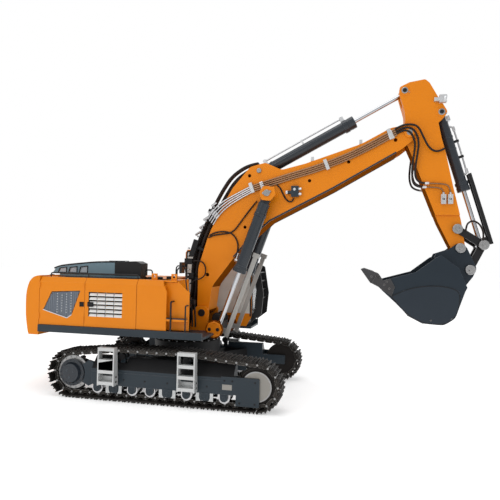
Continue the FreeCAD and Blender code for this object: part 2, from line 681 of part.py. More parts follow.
def build_rails():
    """Low rail along the deck's edge, a hoop ahead of the hood and the two grab rails beside the step."""
    top, y, rail_z = size("body_top") - 0.5, -size("half_body") + 11, 212
    long_rail = bent_bar([(-217, y, top), (-217, y, rail_z), (-48, y, rail_z), (-48, y, top)], 1.1, 3)
    post = rod((-142, y, top), (-142, y, rail_z), 1.0)
    hoop = bent_bar([(-58, -58, top), (-58, -58, 220), (-44, -58, 220), (-44, -58, top)], 1.2, 4)
    low, out, panel_y = size("rail_high"), -size("half_body") - 1, -size("half_body") + 12
    grab = bent_bar([(18.6, out, low), (18.6, out, 169), (18.6, panel_y, 169)], 1.5, 2.5)
    front = bent_bar([(44.5, out, low), (44.5, out, 163), (44.5, panel_y, 163)], 1.3, 2.5)
    solid_feature("handrails", Part.makeCompound([long_rail.fuse(post), hoop, grab, front]))


def build_mirror():
    """Right-hand mirror on a bent arm."""
    arm = bent_bar([(20, -100, 204.5), (20, -100, 222), (29, -100, 232)], 1.2, 4)
    head = box((27, 31), (-108, -92), (217, 236))
    solid_feature("mirror", arm.fuse(head).removeSplitter())


def build_cab():
    """Cab shell with window openings, the hinged door, its glass, the front guard and the seat."""
    inner, outer, rear, front = size("cab_inner"), size("cab_outer"), size("cab_rear"), size("cab_front")
    low, roof, wall = size("deck_high") + 0.2, size("cab_roof"), 4
    sill, lintel = 150, 250
    profile = [(rear, low), (front - 10, low), (front, 130), (front, 205), (front - 14, roof),
               (rear + 4, roof),
               (rear, roof - 6)]
    hollow = [(rear + wall, low + wall), (front - 13, low + wall), (front - wall, 131), (front - wall, 204),
              (front - 17, roof - wall), (rear + 6, roof - wall), (rear + wall, roof - 8)]
    shell = prism(profile, inner, outer).cut(prism(hollow, inner + wall, outer - wall))
    windows = {
        "right": prism([(rear + 10, sill), (front - 12, sill), (front - 10, 205), (front - 22, lintel),
                        (rear + 10, lintel)], inner - 1, inner + wall + 1),
        "rear": box((rear - 1, rear + wall + 1), (inner + 9, outer - 9), (sill + 15, lintel - 4)),
    }
    windscreen = prism([(front - wall - 1, 134), (front + 1, 134), (front + 1, 205), (front - 12, 256),
                        (front - 20, 256), (front - wall - 1, 204)], inner + 7, outer - 7)
    door_hole = prism([(rear + 30, low + 8), (front - 14, low + 8), (front - 8, 133), (front - 8, 205),
                       (front - 21, lintel), (rear + 30, lintel)], outer - wall - 1, outer + 1)
    for tool in list(windows.values()) + [windscreen, door_hole]:
        shell = shell.cut(tool)
    solid_feature("cab_shell", shell.removeSplitter())
    panes = [windows["right"].common(box((-100, 200), (inner + 1, inner + 2.6), (100, 300))),
             windows["rear"].common(box((rear + 1, rear + 2.6), (0, 200), (100, 300))),
             windscreen.common(prism([(front - 3, 130), (front - 1.4, 130), (front - 1.4, 205.2),
                                      (front - 13.5, 256),
                                      (front - 15.1, 256), (front - 3, 205)], inner, outer))]
    solid_feature("cab_glass", Part.makeCompound(panes))
    gap = 0.4
    leaf = prism([(rear + 30 + gap, low + 8 + gap), (front - 14 - gap, low + 8 + gap),
                  (front - 8 - gap, 133.3),
                  (front - 8 - gap, 205), (front - 21 - gap, lintel - gap),
                  (rear + 30 + gap, lintel - gap)],
                 outer - 3.5, outer - 0.5)
    opening = prism([(rear + 36, sill + 4), (front - 15, sill + 4), (front - 15, 204),
                     (front - 27, lintel - 6),
                     (rear + 36, lintel - 6)], outer - 5, outer + 1)
    handle = box((rear + 82, rear + 92), (outer - 1, outer + 2), (140, 144))
    solid_feature("cab_door", leaf.cut(opening).fuse(handle).removeSplitter())
    band = [(front - 10, 242), (front + 14, 229), (front + 23, 176), (front + 19.5, 136), (front - 1, 120),
            (front - 1, 132), (front + 6.5, 143), (front + 9.5, 176), (front + 3, 219), (front - 10, 228)]
    guard = prism(band, inner + 2, inner + 5)
    guard = guard.fuse(prism(band, outer - 5, outer - 2))
    for i in range(4):
        x, z = front + 13 + i, 218 - i * 17
        guard = guard.fuse(rod((x, inner + 3, z), (x, outer - 3, z), 1.5))
    guard = guard.cut(prism(profile, inner - 5, outer + 5))
    solid_feature("cab_guard", guard.removeSplitter())
    mid = (inner + outer) / 2
    seat = box((10, 46), (mid - 16, mid + 16), (low + wall, 140)).fuse(box((8, 50), (mid - 18, mid + 18),
                                                                           (140, 152)))
    seat = seat.fuse(prism([(8, 150), (18, 150), (12, 208), (4, 208)], mid - 17, mid + 17))
    solid_feature("operator_seat", seat.removeSplitter())


def build_inside():
    """What the body holds: pump with motor, oil tank, battery, valve block and radio controller."""
    floor = size("deck_high")
    pump = rod((-200, -30, floor + 22), (-140, -30, floor + 22), 18).fuse(
        box((-140, -112), (-46, -14), (floor, floor + 38))).fuse(box((-196, -150), (-40, -20),
                                                                     (floor, floor + 10)))
    solid_feature("hydraulic_pump", pump.removeSplitter())
    keep(group([block(("-104", "-32"), ("48", "104"), (floor, floor + 58))]), "oil_tank")
    keep(group([block(("-222", "-148"), ("-108", "-58"), (floor, floor + 40))]), "battery")
    keep(group([block(("-222", "-150"), ("46", "106"), (floor, floor + 26))]), "radio_controller")
    valve = box((-90, -40), (-104, -52), (floor, floor + 22))
    for i in range(6):
        x = -86 + i * 8
        valve = valve.fuse(rod((x, -78, floor + 20), (x, -78, floor + 34), 2.6))
    solid_feature("valve_block", valve.removeSplitter())


# ---------------------------------------------------------------- boom
BOOM_OUTLINE = [(33, 141, 10), (33, 226, 60), (49, 278.5, 60), (57, 298.3), (76.8, 340.6, 80),
                (96.4, 374.2),
                (128, 412, 16), (156, 419, 10), (186, 405.5, 14), (228, 415.7, 60), (325.8, 448.3, 80),
                (374, 474.1, 25), (411, 480, 5), (416, 456, 6), (392, 436.5, 30), (276.7, 371.1, 200),
                (166.1, 313.9, 90), (126.6, 277.9, 90), (102.8, 248.4), (60.5, 192.5, 30), (54, 141, 10)]
BOOM_CORE = [(42, 165), (41, 226), (56, 276), (64, 296), (83, 337), (102, 369), (128, 398), (165, 400),
             (187, 400), (228, 410.5), (325, 443), (370, 467), (370, 427.5), (276, 377), (163, 319),
             (123, 283), (99, 253), (55, 195)]
BOOM_HOLES = [(51, 213.7, 3.4), (127, 395.7, 3.2), (236.3, 385.1, 3.0), (303.9, 417, 3.0),
              (382.3, 453, 3.2),
              (120.5, 302, 3.0)]


def build_boom():
    """Box-section boom: two side plates and the web between them, open for the stick and its cylinder."""
    half, thick = size("boom_half"), size("boom_plate")
    base = plate(BOOM_OUTLINE, "2 * boom_half", 0, BOOM_HOLES, "boom_box")
    doc.recompute()
    boom = base.Shape.cut(prism(BOOM_CORE, -half + thick, half - thick))
    boom = boom.cut(box((385, 430), (-half + thick, half - thick), (420, 500)))
    corridor = axis_box(STICK_BASE, STICK_ROD, (-14, 70), (-14, 30), (-13, 13))
    boom = boom.cut(corridor)
    doc.removeObject(base.Name)
    for out in (-1, 1):
        head, lug = CYLINDER_HEAD, sorted((out * half, out * 28.5))
        boom = boom.fuse(rod((head[0], lug[0], head[1]), (head[0], lug[1], head[1]), 11))
        boom = boom.fuse(rod((head[0], out * 28, head[1]), (head[0], out * 50, head[1]), 3.5))
        boom = boom.fuse(rod((head[0], out * 46.6, head[1]), (head[0], out * 50, head[1]), 13))
    for spot, radius in ((BOOM_FOOT, "boom_pin"), (STICK_PIVOT, "boom_pin"), (STICK_BASE, "link_pin")):
        boom = boom.cut(rod((spot[0], -60, spot[1]), (spot[0], 60, spot[1]), size(radius)))
    solid_feature("boom", boom.removeSplitter())
    pins = [pin_bar(BOOM_FOOT, "boom_pin", 34.5), pin_bar(STICK_PIVOT, "boom_pin", 29),
            pin_bar(STICK_BASE, "link_pin", 29)]
    keep(group(pins), "boom_pins")


def boom_pipe(lift, y):
    """One steel pipe along the boom's side from its knee to the tip, lifted off the lowest pipe's line."""
    line = [(74, 300), (90, 333), (136, 367), (190, 384), (262, 404), (330, 431), (384, 461)]
    return bent_bar([(x - 0.35 * lift, y, z + 0.93 * lift) for x, z in line], 1.2, 20)


def build_boom_trim():
    """Pipes on both sides of the boom, their clamps and ports, and the hoses at both ends."""
    half = size("boom_half")
    pipes, clamps = [], []
    for out in (-1, 1):
        pipes += [boom_pipe(row * 4.4, out * (half + 2.2)) for row in range(3)]
        for x, z in ((134, 368), (268, 407.5), (376, 458)):
            tilt = axis_box((x, z), (x + 10, z + 4.5), (-2.5, 2.5), (-14, 3),
                            sorted((out * half, out * (half + 4))))
            clamps.append(tilt)
    clear = Part.makeCompound(pipes)
    clamps = [clamp.cut(clear) for clamp in clamps]
    filter_block = box((205, 218), (-half - 9, -half), (356, 375))
    port = rod((197, -half - 4.5, 364), (205, -half - 4.5, 364), 3)
    solid_feature("boom_pipes", clear)
    solid_feature("boom_fittings", Part.makeCompound(clamps + [filter_block, port]))
    solid_feature("boom_hoses", Part.makeCompound([hose_along_boom(y) for y in (-15, -5, 5, 15)]))


def hose_along_boom(y):
    """A hose lying along the boom's rear edge, from the foot up to the pipes."""
    return bent_bar([(27, y, 180), (27, y, 228), (43, y, 281), (52, y, 303), (70, y, 341)], 2.2, 30)


def build_boom_cylinders():
    """Rods and barrels of the two boom cylinders, and the bars that guard the rods."""
    foot, head = CYLINDER_FOOT, CYLINDER_HEAD
    run = hypot(head[0] - foot[0], head[1] - foot[1])
    y, bore = size("cylinder_y"), size("link_pin") + size("run_fit")
    rods, guards, barrels = [], [], []
    cap = 111
    for out in (-1, 1):
        eye = rod((foot[0], out * y - 5, foot[1]), (foot[0], out * y + 5, foot[1]), 8)
        shaft = rod(on_line(foot, head, 4, out * y), on_line(foot, head, cap + 90, out * y), 4)
        piece = eye.fuse(shaft).cut(rod((foot[0], out * y - 9, foot[1]), (foot[0], out * y + 9, foot[1]),
                                        bore))
        rods.append(piece.removeSplitter())
        cheek = sorted((out * (y - 4.6), out * (y - 2.6)))
        bar = axis_box(foot, head, (-8, 152), (14, 22), cheek)
        foot_plate = axis_box(foot, head, (-4, 6), (6, 15), cheek)
        collar = axis_box(foot, head, (146, 152), (12.5, 23.5), sorted((out * (y - 6.6), out * (y - 2.6))))
        guards.append(bar.fuse(foot_plate.cut(eye)).fuse(collar).removeSplitter())
        barrel = rod(on_line(foot, head, cap, out * y), on_line(foot, head, run - 18, out * y), 10.4)
        barrel = barrel.fuse(axis_box(foot, head, (run - 19, run), (-8, 8),
                                      sorted((out * (y - 5.2), out * (y + 5.2)))))
        barrel = barrel.fuse(rod(on_line(foot, head, cap, out * y),
                                 on_line(foot, head, cap + 12, out * y), 11.4))
        barrel = barrel.fuse(rod((head[0], out * y - 5.2, head[1]), (head[0], out * y + 5.2, head[1]),
                                 10.5))
        barrel = barrel.cut(rod((head[0], out * y - 13, head[1]), (head[0], out * y + 13, head[1]), 7.6))
        barrel = barrel.cut(rod(on_line(foot, head, cap - 1, out * y),
                                on_line(foot, head, run - 22, out * y),
                                4 + size("run_fit")))
        barrels.append(barrel.removeSplitter())
    solid_feature("boom_cylinder_rods", Part.makeCompound(rods))
    solid_feature("boom_rod_guards", Part.makeCompound(guards))
    solid_feature("boom_cylinder_barrels", Part.makeCompound(barrels))


# ---------------------------------------------------------------- stick
STICK_OUTLINE = [(387.5, 536, 4), (388, 546, 5), (404, 553.5, 6), (430, 557.5, 6), (437, 551),
                 (452, 524, 6),
                 (460, 512, 4), (467, 499.5, 6), (459, 489, 6), (452, 482), (457, 457), (465, 427.7, 60),
                 (476.4, 374.5, 60), (490.5, 315), (498, 268, 9), (481, 259, 9), (474, 271),
                 (454, 311.5, 40),
                 (432.7, 366.4, 60), (412.9, 418.6, 60), (401, 447, 30), (393, 465, 10), (398, 484, 20),
                 (397, 503, 30)]
STICK_CORE = [(412, 533), (425, 545), (444, 519), (446, 480), (452, 456), (460, 426), (471, 374),
              (480, 334),
              (456, 330), (440, 368), (420, 421), (418, 450), (419, 482), (409, 500)]


def build_stick():
    """Box-section stick with forked ends for its own cylinder and the bucket cylinder."""
    half, thick = size("stick_half"), size("stick_plate")
    base = plate(STICK_OUTLINE, "2 * stick_half", 0, (), "stick_box")
    doc.recompute()
    stick = base.Shape.cut(prism(STICK_CORE, -half + thick, half - thick))
    doc.removeObject(base.Name)
    stick = stick.cut(box((380, 409), (-9, 9), (516, 558)))
    stick = stick.cut(rod((STICK_ROD[0], -9, STICK_ROD[1]), (STICK_ROD[0], 9, STICK_ROD[1]), 15))
    stick = stick.cut(axis_box(BUCKET_BASE, LINK_TOP, (-13, 60), (-12, 13), (-11.5, 11.5)))
    for out in (-1, 1):
        low, high = sorted((out * 16, out * (half + 2)))
        stick = stick.cut(prism([(440, 325), (520, 325), (520, 240), (440, 240)], low, high))
    stick = stick.fuse(rod((STICK_PIVOT[0], -22.6, STICK_PIVOT[1]),
                           (STICK_PIVOT[0], 22.6, STICK_PIVOT[1]), 11))
    stick = stick.cut(rod((STICK_PIVOT[0], -30, STICK_PIVOT[1]), (STICK_PIVOT[0], 30, STICK_PIVOT[1]),
                          size("boom_pin") + size("run_fit")))
    for spot in (STICK_ROD, BUCKET_BASE, IDLER_PIN, BUCKET_PIN):
        stick = stick.cut(rod((spot[0], -30, spot[1]), (spot[0], 30, spot[1]), size("link_pin")))
    solid_feature("stick", stick.removeSplitter())
    stubs = [rod((STICK_ROD[0], out * 10, STICK_ROD[1]), (STICK_ROD[0], out * 22, STICK_ROD[1]),
                 4) for out in (-1, 1)]
    through = [rod((spot[0], -reach, spot[1]), (spot[0], reach, spot[1]), size("link_pin"))
               for spot, reach in ((BUCKET_BASE, 22), (IDLER_PIN, 22.5), (BUCKET_PIN, 23))]
    solid_feature("stick_pins", Part.makeCompound(stubs + through))


def build_stick_trim():
    """Port blocks with their pipes and hose loops on the stick, and the work light bracket."""
    half = size("stick_half")
    blocks = []
    for out in (-1, 1):
        for x in (457, 468):
            block_low, block_high = sorted((out * half, out * (half + 7)))
            port = box((x, x + 8), (block_low, block_high), (343, 359))
            port = port.cut(rod((x + 4, out * (half + 1), 351), (x + 4, out * (half + 9), 351), 2.2))
            blocks.append(port)
    solid_feature("stick_fittings", Part.makeCompound(blocks))
    hoses = []
    for out in (-1, 1):
        y = out * (half + 3.4)
        hoses.append(bent_bar([(431, y, 478), (436, y, 455), (446, y, 432), (452, y, 400), (460, y, 359)],
                              1.6, 14))
        hoses.append(bent_bar([(424, y, 470), (422, y, 440), (430, y, 412), (440, y, 385), (456, y, 352)],
                              1.6, 14))
    solid_feature("stick_hoses", Part.makeCompound(hoses))
    bracket = box((444, 462), (-half - 7, -half), (517, 523)).fuse(box((452, 464), (-half - 9, -half - 1),
                                                                       (514, 527)))
    solid_feature("work_light", bracket.removeSplitter())


def build_stick_cylinder():
    """Barrel hinged on the boom and the rod that reaches into the stick's upper fork."""
    base, end = STICK_BASE, STICK_ROD
    run = hypot(end[0] - base[0], end[1] - base[1])
    cap, bore = 190, size("link_pin") + size("run_fit")
    barrel = rod(on_line(base, end, 6), on_line(base, end, cap), 10)
    barrel = barrel.fuse(rod(on_line(base, end, cap - 22), on_line(base, end, cap), 11))
    barrel = barrel.fuse(rod((base[0], -8, base[1]), (base[0], 8, base[1]), 9))
    barrel = barrel.cut(rod((base[0], -20, base[1]), (base[0], 20, base[1]), bore))
    barrel = barrel.cut(rod(on_line(base, end, 18), on_line(base, end, cap + 2), 3.6 + size("run_fit")))
    solid_feature("stick_cylinder_barrel", barrel.removeSplitter())
    shaft = rod(on_line(base, end, cap - 110), on_line(base, end, run - 3), 3.6)
    eye = rod((end[0], -7, end[1]), (end[0], 7, end[1]), 7.5)
    shaft = shaft.fuse(eye).cut(rod((end[0], -9, end[1]), (end[0], 9, end[1]), 3.5))
    solid_feature("stick_cylinder_rod", shaft.removeSplitter())


def build_bucket_cylinder():
    """Barrel hinged on the stick, the rod that reaches the links, and the rod's guard plate."""
    base, end = BUCKET_BASE, LINK_TOP
    run = hypot(end[0] - base[0], end[1] - base[1])
    cap, bore = 138, size("link_pin") + size("run_fit")
    barrel = rod(on_line(base, end, 6), on_line(base, end, cap), 9)
    barrel = barrel.fuse(rod(on_line(base, end, cap - 16), on_line(base, end, cap), 10))
    barrel = barrel.fuse(rod((base[0], -7, base[1]), (base[0], 7, base[1]), 8.5))
    barrel = barrel.cut(rod((base[0], -20, base[1]), (base[0], 20, base[1]), bore))
    barrel = barrel.cut(rod(on_line(base, end, 18), on_line(base, end, cap + 2), 3.8 + size("run_fit")))
    solid_feature("bucket_cylinder_barrel", barrel.removeSplitter())
    shaft = rod(on_line(base, end, cap - 85), on_line(base, end, run - 3), 3.8)
    eye = rod((end[0], -5, end[1]), (end[0], 5, end[1]), 8)
    shaft = shaft.fuse(eye).cut(rod((end[0], -9, end[1]), (end[0], 9, end[1]), size("link_pin") + 2.6))
    solid_feature("bucket_cylinder_rod", shaft.removeSplitter())
    guard = axis_box(base, end, (cap - 26, run + 2), (-18.6, -17), (-7, 7))
    for cheek in ((-7, -5.5), (5.5, 7)):
        guard = guard.fuse(axis_box(base, end, (cap - 26, run + 2), (-17.5, -12.6), cheek))
    neck = axis_box(base, end, (run - 12, run - 6), (-17.5, -5), (-4, 4)).cut(eye)
    solid_feature("bucket_rod_guard", guard.fuse(neck.cut(shaft)).removeSplitter())


# ---------------------------------------------------------------- bucket and links
def link_bar(start, end, radius, low, high, bores):
    """A flat link with round ends between two pivots."""
    bar = axis_box(start, end, (0, hypot(end[0] - start[0], end[1] - start[1])),
                   (-radius + 1.5, radius - 1.5),
                   (low, high))
    for spot in (start, end):
        bar = bar.fuse(rod((spot[0], low, spot[1]), (spot[0], high, spot[1]), radius))
    for spot, bore in bores:
        bar = bar.cut(rod((spot[0], low - 5, spot[1]), (spot[0], high + 5, spot[1]), bore))
    return bar


def build_links():
    """Idler links with their cross pin, and the H-link between them and the bucket."""
    fit = size("link_pin") + size("run_fit")
    idlers = None
    for out in (-1, 1):
        low, high = sorted((out * 17.2, out * 20.6))
        bar = link_bar(IDLER_PIN, LINK_TOP, 7.5, low, high, [(IDLER_PIN, fit)])
        idlers = bar if idlers is None else idlers.fuse(bar)
    pin = rod((LINK_TOP[0], -23, LINK_TOP[1]), (LINK_TOP[0], 23, LINK_TOP[1]), size("link_pin"))
    solid_feature("idler_links", idlers.fuse(pin).removeSplitter())
    link = None
    for out in (-1, 1):
        low, high = sorted((out * 8.5, out * 15.5))
        bar = link_bar(LINK_TOP, LINK_LOW, 7.5, low, high, [(LINK_TOP, fit),
                                                            (LINK_LOW, size("link_pin") + 2.4)])
        link = bar if link is None else link.fuse(bar)
    middle = axis_box(LINK_TOP, LINK_LOW, (18, 30), (-4, 4), (-9, 9))
    solid_feature("h_link", link.fuse(middle).removeSplitter())


BUCKET_SIDE = [(364, 213), (416, 228), (449, 254), (455, 256), (482, 236), (495, 205), (492, 199),
               (483.5, 174, 30),
               (477.5, 155, 20), (460, 143, 20), (427.5, 144.6, 30), (405, 156, 60), (384, 177, 60),
               (362, 197)]
BUCKET_FLOOR = [(347, 214), (352, 220), (364, 213), (385, 186.5), (409, 162), (429, 149.5), (458, 148.4),
                (472.5, 159),
                (478.3, 176), (487, 201), (489, 205), (478, 232), (452, 251), (455, 256), (482, 236),
                (495, 205),
                (492, 199), (483.2, 174), (476.7, 156.4), (459.5, 143.4), (428, 144.8), (405.5, 157),
                (384, 178),
                (360, 199)]
BUCKET_EAR = [(448, 253), (451, 260), (471, 267), (486, 279, 9), (499, 271, 9), (515, 236, 10),
              (509, 222, 10),
              (495, 203), (487, 203), (478, 231)]


def build_bucket():
    """Bucket shell, side plates, hanger ears and link pin; its teeth bite on the lip."""
    half, wall = size("bucket_half"), size("bucket_plate")
    sides = twin_plates(BUCKET_SIDE, "bucket_plate", "bucket_half - bucket_plate / 2", (), "bucket_side")
    ears = twin_plates(BUCKET_EAR, "ear_outer - ear_inner", "( ear_outer + ear_inner ) / 2", (),
                       "bucket_ear")
    doc.recompute()
    shell = prism(BUCKET_FLOOR, -half + wall, half - wall)
    for side in sides:
        shell = shell.fuse(side.Shape)
    for ear in ears:
        shell = shell.fuse(ear.Shape)
    for piece in sides + ears:
        doc.removeObject(piece.Name)
    shell = shell.fuse(rod((LINK_LOW[0], -23, LINK_LOW[1]), (LINK_LOW[0], 23, LINK_LOW[1]),
                           size("link_pin")))
    shell = shell.cut(rod((BUCKET_PIN[0], -30, BUCKET_PIN[1]), (BUCKET_PIN[0], 30, BUCKET_PIN[1]),
                          size("link_pin") + size("run_fit")))
    solid_feature("bucket", shell.removeSplitter())
    tooth = [(328, 230), (332, 232), (357, 224), (364, 213.5), (352.3, 220.3), (347.2, 214.2),
             (358, 201.5), (345, 208)]
    step = (2 * half - 11) / 4
    spans = [(-half + 0.5 + i * step, -half + 10.5 + i * step) for i in range(5)]
    teeth = [prism(tooth, low, high).cut(shell) for low, high in spans]
    solid_feature("bucket_teeth", Part.makeCompound([piece.Solids[0] for piece in teeth]))


# ---------------------------------------------------------------- the whole machine
for side, middle in (("right", -size("track_y")), ("left", size("track_y"))):
    build_tracks(side, middle)
    build_track_frame(side, middle)
    build_sprocket(side, middle)
    build_idler(side, middle)
build_rollers()
build_travel_motors()
build_ladders()
build_cross_frame()
build_bolts()
build_upper_frame(build_swing_drive())
build_counterweight()
build_doors()
build_body()
build_hood()
build_rails()
build_mirror()
build_cab()
build_inside()
build_boom()
build_boom_trim()
build_boom_cylinders()
build_stick()
build_stick_trim()
build_stick_cylinder()
build_bucket_cylinder()
build_links()
build_bucket()

doc.recompute()
for part in subparts:
    place = part.Placement
    part.Placement = FreeCAD.Placement(place.Base + Vector(-size("frame_x"), 0, 0), place.Rotation)
doc.recompute()

failed = [obj.Label for obj in doc.Objects if {"Invalid", "Error"} & set(obj.State)]
failed += [part.Label for part in subparts if part.Shape.isNull() or not part.Shape.isValid()]
if failed:
    raise RuntimeError("failed objects: " + ", ".join(failed))

os.makedirs("parts", exist_ok=True)
whole = Part.makeCompound([part.Shape for part in subparts]).BoundBox
print(len(subparts), "sub-parts, box", [round(v, 2) for v in
      (whole.XMin, whole.YMin, whole.ZMin, whole.XMax, whole.YMax, whole.ZMax)])
for part in subparts:
    part.Shape.exportStep(f"parts/{part.Label}.step")
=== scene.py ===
"""Looks of a tracked hydraulic excavator, a 1:14 radio-controlled scale model.

Everything is drawn in machine millimetres: X forward, Y to the machine's left, Z up from the ground. The
frame's origin lies ORIGIN_X ahead of the machine's own, and at() turns a machine point into the frame's
metres.
"""
import json
from math import acos, atan2, cos, hypot, pi, radians, sin
import bmesh
import bpy
from mathutils import Matrix, Vector


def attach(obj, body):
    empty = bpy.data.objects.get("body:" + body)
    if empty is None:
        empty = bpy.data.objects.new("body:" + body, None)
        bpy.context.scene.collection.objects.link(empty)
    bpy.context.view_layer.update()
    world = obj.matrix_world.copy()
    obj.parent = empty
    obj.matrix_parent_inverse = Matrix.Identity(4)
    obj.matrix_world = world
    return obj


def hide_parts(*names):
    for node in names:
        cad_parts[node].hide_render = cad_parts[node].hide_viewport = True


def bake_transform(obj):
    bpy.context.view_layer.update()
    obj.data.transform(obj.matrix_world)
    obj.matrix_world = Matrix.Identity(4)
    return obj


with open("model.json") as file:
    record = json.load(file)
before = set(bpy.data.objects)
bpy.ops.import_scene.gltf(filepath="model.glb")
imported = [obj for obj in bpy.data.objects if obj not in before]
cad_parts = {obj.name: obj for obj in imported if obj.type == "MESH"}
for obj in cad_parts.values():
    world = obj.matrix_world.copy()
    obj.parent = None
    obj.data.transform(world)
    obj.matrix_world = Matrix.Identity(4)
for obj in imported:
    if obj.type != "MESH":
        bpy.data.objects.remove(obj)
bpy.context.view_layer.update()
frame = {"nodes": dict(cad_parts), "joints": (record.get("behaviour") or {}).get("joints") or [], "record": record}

MM = 0.001
SWING_X = 7.0
JOINTS = {joint["name"]: joint for joint in frame["joints"]}
ORIGIN_X = SWING_X - JOINTS["swing"]["pos_m"][0] / MM
TO_FRAME = Matrix.Translation((-ORIGIN_X * MM, 0, 0)) @ Matrix.Scale(MM, 4)


def at(x, y, z):
    """A machine point in the frame's metres."""
    return TO_FRAME @ Vector((x, y, z))


def pivot(name):
    """A joint's place as machine (x, z)."""
    place = JOINTS[name]["pos_m"]
    return place[0] / MM + ORIGIN_X, place[2] / MM


BOOM_FOOT = pivot("boom_lift")
CYLINDER_FOOT = pivot("boom_rod_swing")
STICK_BASE = pivot("stick_cylinder_swing")
STICK_PIVOT = pivot("stick_swing")
BUCKET_BASE = pivot("bucket_cylinder_swing")
IDLER_PIN = pivot("idler_link_swing")
BUCKET_PIN = pivot("bucket_curl")
LINK_TOP = pivot("h_link_swing")
CYLINDER_HEAD = (164.5, 360.3)
STICK_ROD = (396.5, 539.5)
LINK_LOW = (504.6, 233.5)
BOOM_LINE = (CYLINDER_FOOT, CYLINDER_HEAD)
STICK_LINE = (STICK_BASE, STICK_ROD)
BUCKET_LINE = (BUCKET_BASE, LINK_TOP)
SIDES = (("right", -1), ("left", 1))


# ---------------------------------------------------------------- camera, light and floor
def add_camera():
    """The camera at the photograph's place: low on the machine's right, a little ahead of square."""
    turn, pitch, roll = radians(12.8), radians(1.26), radians(1.24)
    ahead = Vector((-sin(turn) * cos(pitch), cos(turn) * cos(pitch), sin(pitch)))
    level = ahead.cross(Vector((0, 0, 1))).normalized()
    upright = level.cross(ahead).normalized()
    up = upright * cos(roll) - level * sin(roll)
    right = ahead.cross(up).normalized()
    data = bpy.data.cameras.new("camera")
    data.lens, data.sensor_width = 36.0, 36.0
    data.clip_start, data.clip_end = 0.05, 50
    camera = bpy.data.objects.new("camera", data)
    turned = Matrix((right, up, -ahead)).transposed().to_4x4()
    camera.matrix_world = Matrix.Translation(at(331.8, -910.6, 240.5)) @ turned
    bpy.context.scene.collection.objects.link(camera)
    bpy.context.scene.camera = camera


def add_light(name, place, target, width, height, power):
    """A soft rectangular lamp aimed at a point."""
    data = bpy.data.lights.new(name, "AREA")
    data.shape, data.size, data.size_y, data.energy = "RECTANGLE", width, height, power
    lamp = bpy.data.objects.new(name, data)
    lamp.location = place
    lamp.rotation_euler = (Vector(target) - Vector(place)).to_track_quat("-Z", "Y").to_euler()
    bpy.context.scene.collection.objects.link(lamp)


def add_studio():
    """A white surround, three soft lamps and a plain pale floor."""
    bpy.context.scene.view_settings.view_transform = "Standard"
    world = bpy.data.worlds.new("studio")
    world.use_nodes = True
    tree = world.node_tree
    backdrop = tree.nodes["Background"]
    backdrop.inputs["Color"].default_value = (1.0, 1.0, 1.0, 1)
    seen = add_node(tree, "ShaderNodeLightPath").outputs["Is Camera Ray"]
    tree.links.new(scaled(tree, seen, 0, 1, 0.70, 1.0), backdrop.inputs["Strength"])
    bpy.context.scene.world = world
    add_light("overhead", (-0.2, -0.3, 1.9), (0, 0, 0.15), 1.2, 1.0, 7)
    add_light("key", (-0.9, -1.7, 1.3), (0, 0, 0.2), 0.9, 0.9, 6)
    add_light("rim", (1.5, 1.2, 1.0), (0, 0, 0.3), 0.8, 1.0, 5)
    size = 9.0
    mesh = bpy.data.meshes.new("floor")
    sheet = corners((-size, size), (-size, size))
    mesh.from_pydata([(x, y, 0) for x, y in sheet], [], [(0, 1, 2, 3)])
    floor = bpy.data.objects.new("floor", mesh)
    white = surface("floor_white", (0.94, 0.94, 0.94), rough=0.75, bump=0)
    shader = white.node_tree.nodes["Principled BSDF"]
    shader.inputs["Emission Color"].default_value = (1.0, 1.0, 1.0, 1)
    shader.inputs["Emission Strength"].default_value = 0.36
    floor.data.materials.append(white)
    bpy.context.scene.collection.objects.link(floor)


# ---------------------------------------------------------------- materials
def add_node(tree, kind, **values):
    """A shader node with its sockets or settings filled in."""
    node = tree.nodes.new(kind)
    for key, value in values.items():
        if key in node.inputs:
            node.inputs[key].default_value = value
        else:
            setattr(node, key, value)
    return node


def mix_colors(tree, share, first, second):
    """A colour mix; each colour is a socket or an rgb value."""
    node = add_node(tree, "ShaderNodeMix", data_type="RGBA")
    for socket, color in ((node.inputs[6], first), (node.inputs[7], second)):
        if isinstance(color, tuple):
            socket.default_value = (*color, 1)
        else:
            tree.links.new(color, socket)
    tree.links.new(share, node.inputs[0])
    return node.outputs[2]


def scaled(tree, socket, low, high, to_low, to_high):
    """A socket's range mapped onto another, clamped."""
    node = add_node(tree, "ShaderNodeMapRange")
    for index, value in enumerate((low, high, to_low, to_high), start=1):
        node.inputs[index].default_value = value
    tree.links.new(socket, node.inputs[0])
    return node.outputs[0]


def noise(tree, coordinates, scale, detail=3.0, rough=0.55):
    """Fractal noise in the object's own metres."""
    node = add_node(tree, "ShaderNodeTexNoise", Scale=scale, Detail=detail, Roughness=rough)
    tree.links.new(coordinates, node.inputs["Vector"])
    return node.outputs[0]


def edge_mask(tree, radius):
    """How near a surface point is to a sharp edge: 0 on flats, towards 1 on edges."""
    rounded = add_node(tree, "ShaderNodeBevel", samples=4, Radius=radius)
    plain = add_node(tree, "ShaderNodeNewGeometry")
    dot = add_node(tree, "ShaderNodeVectorMath", operation="DOT_PRODUCT")
    tree.links.new(rounded.outputs[0], dot.inputs[0])
    tree.links.new(plain.outputs["Normal"], dot.inputs[1])
    return scaled(tree, dot.outputs["Value"], 0.995, 0.93, 0, 1)


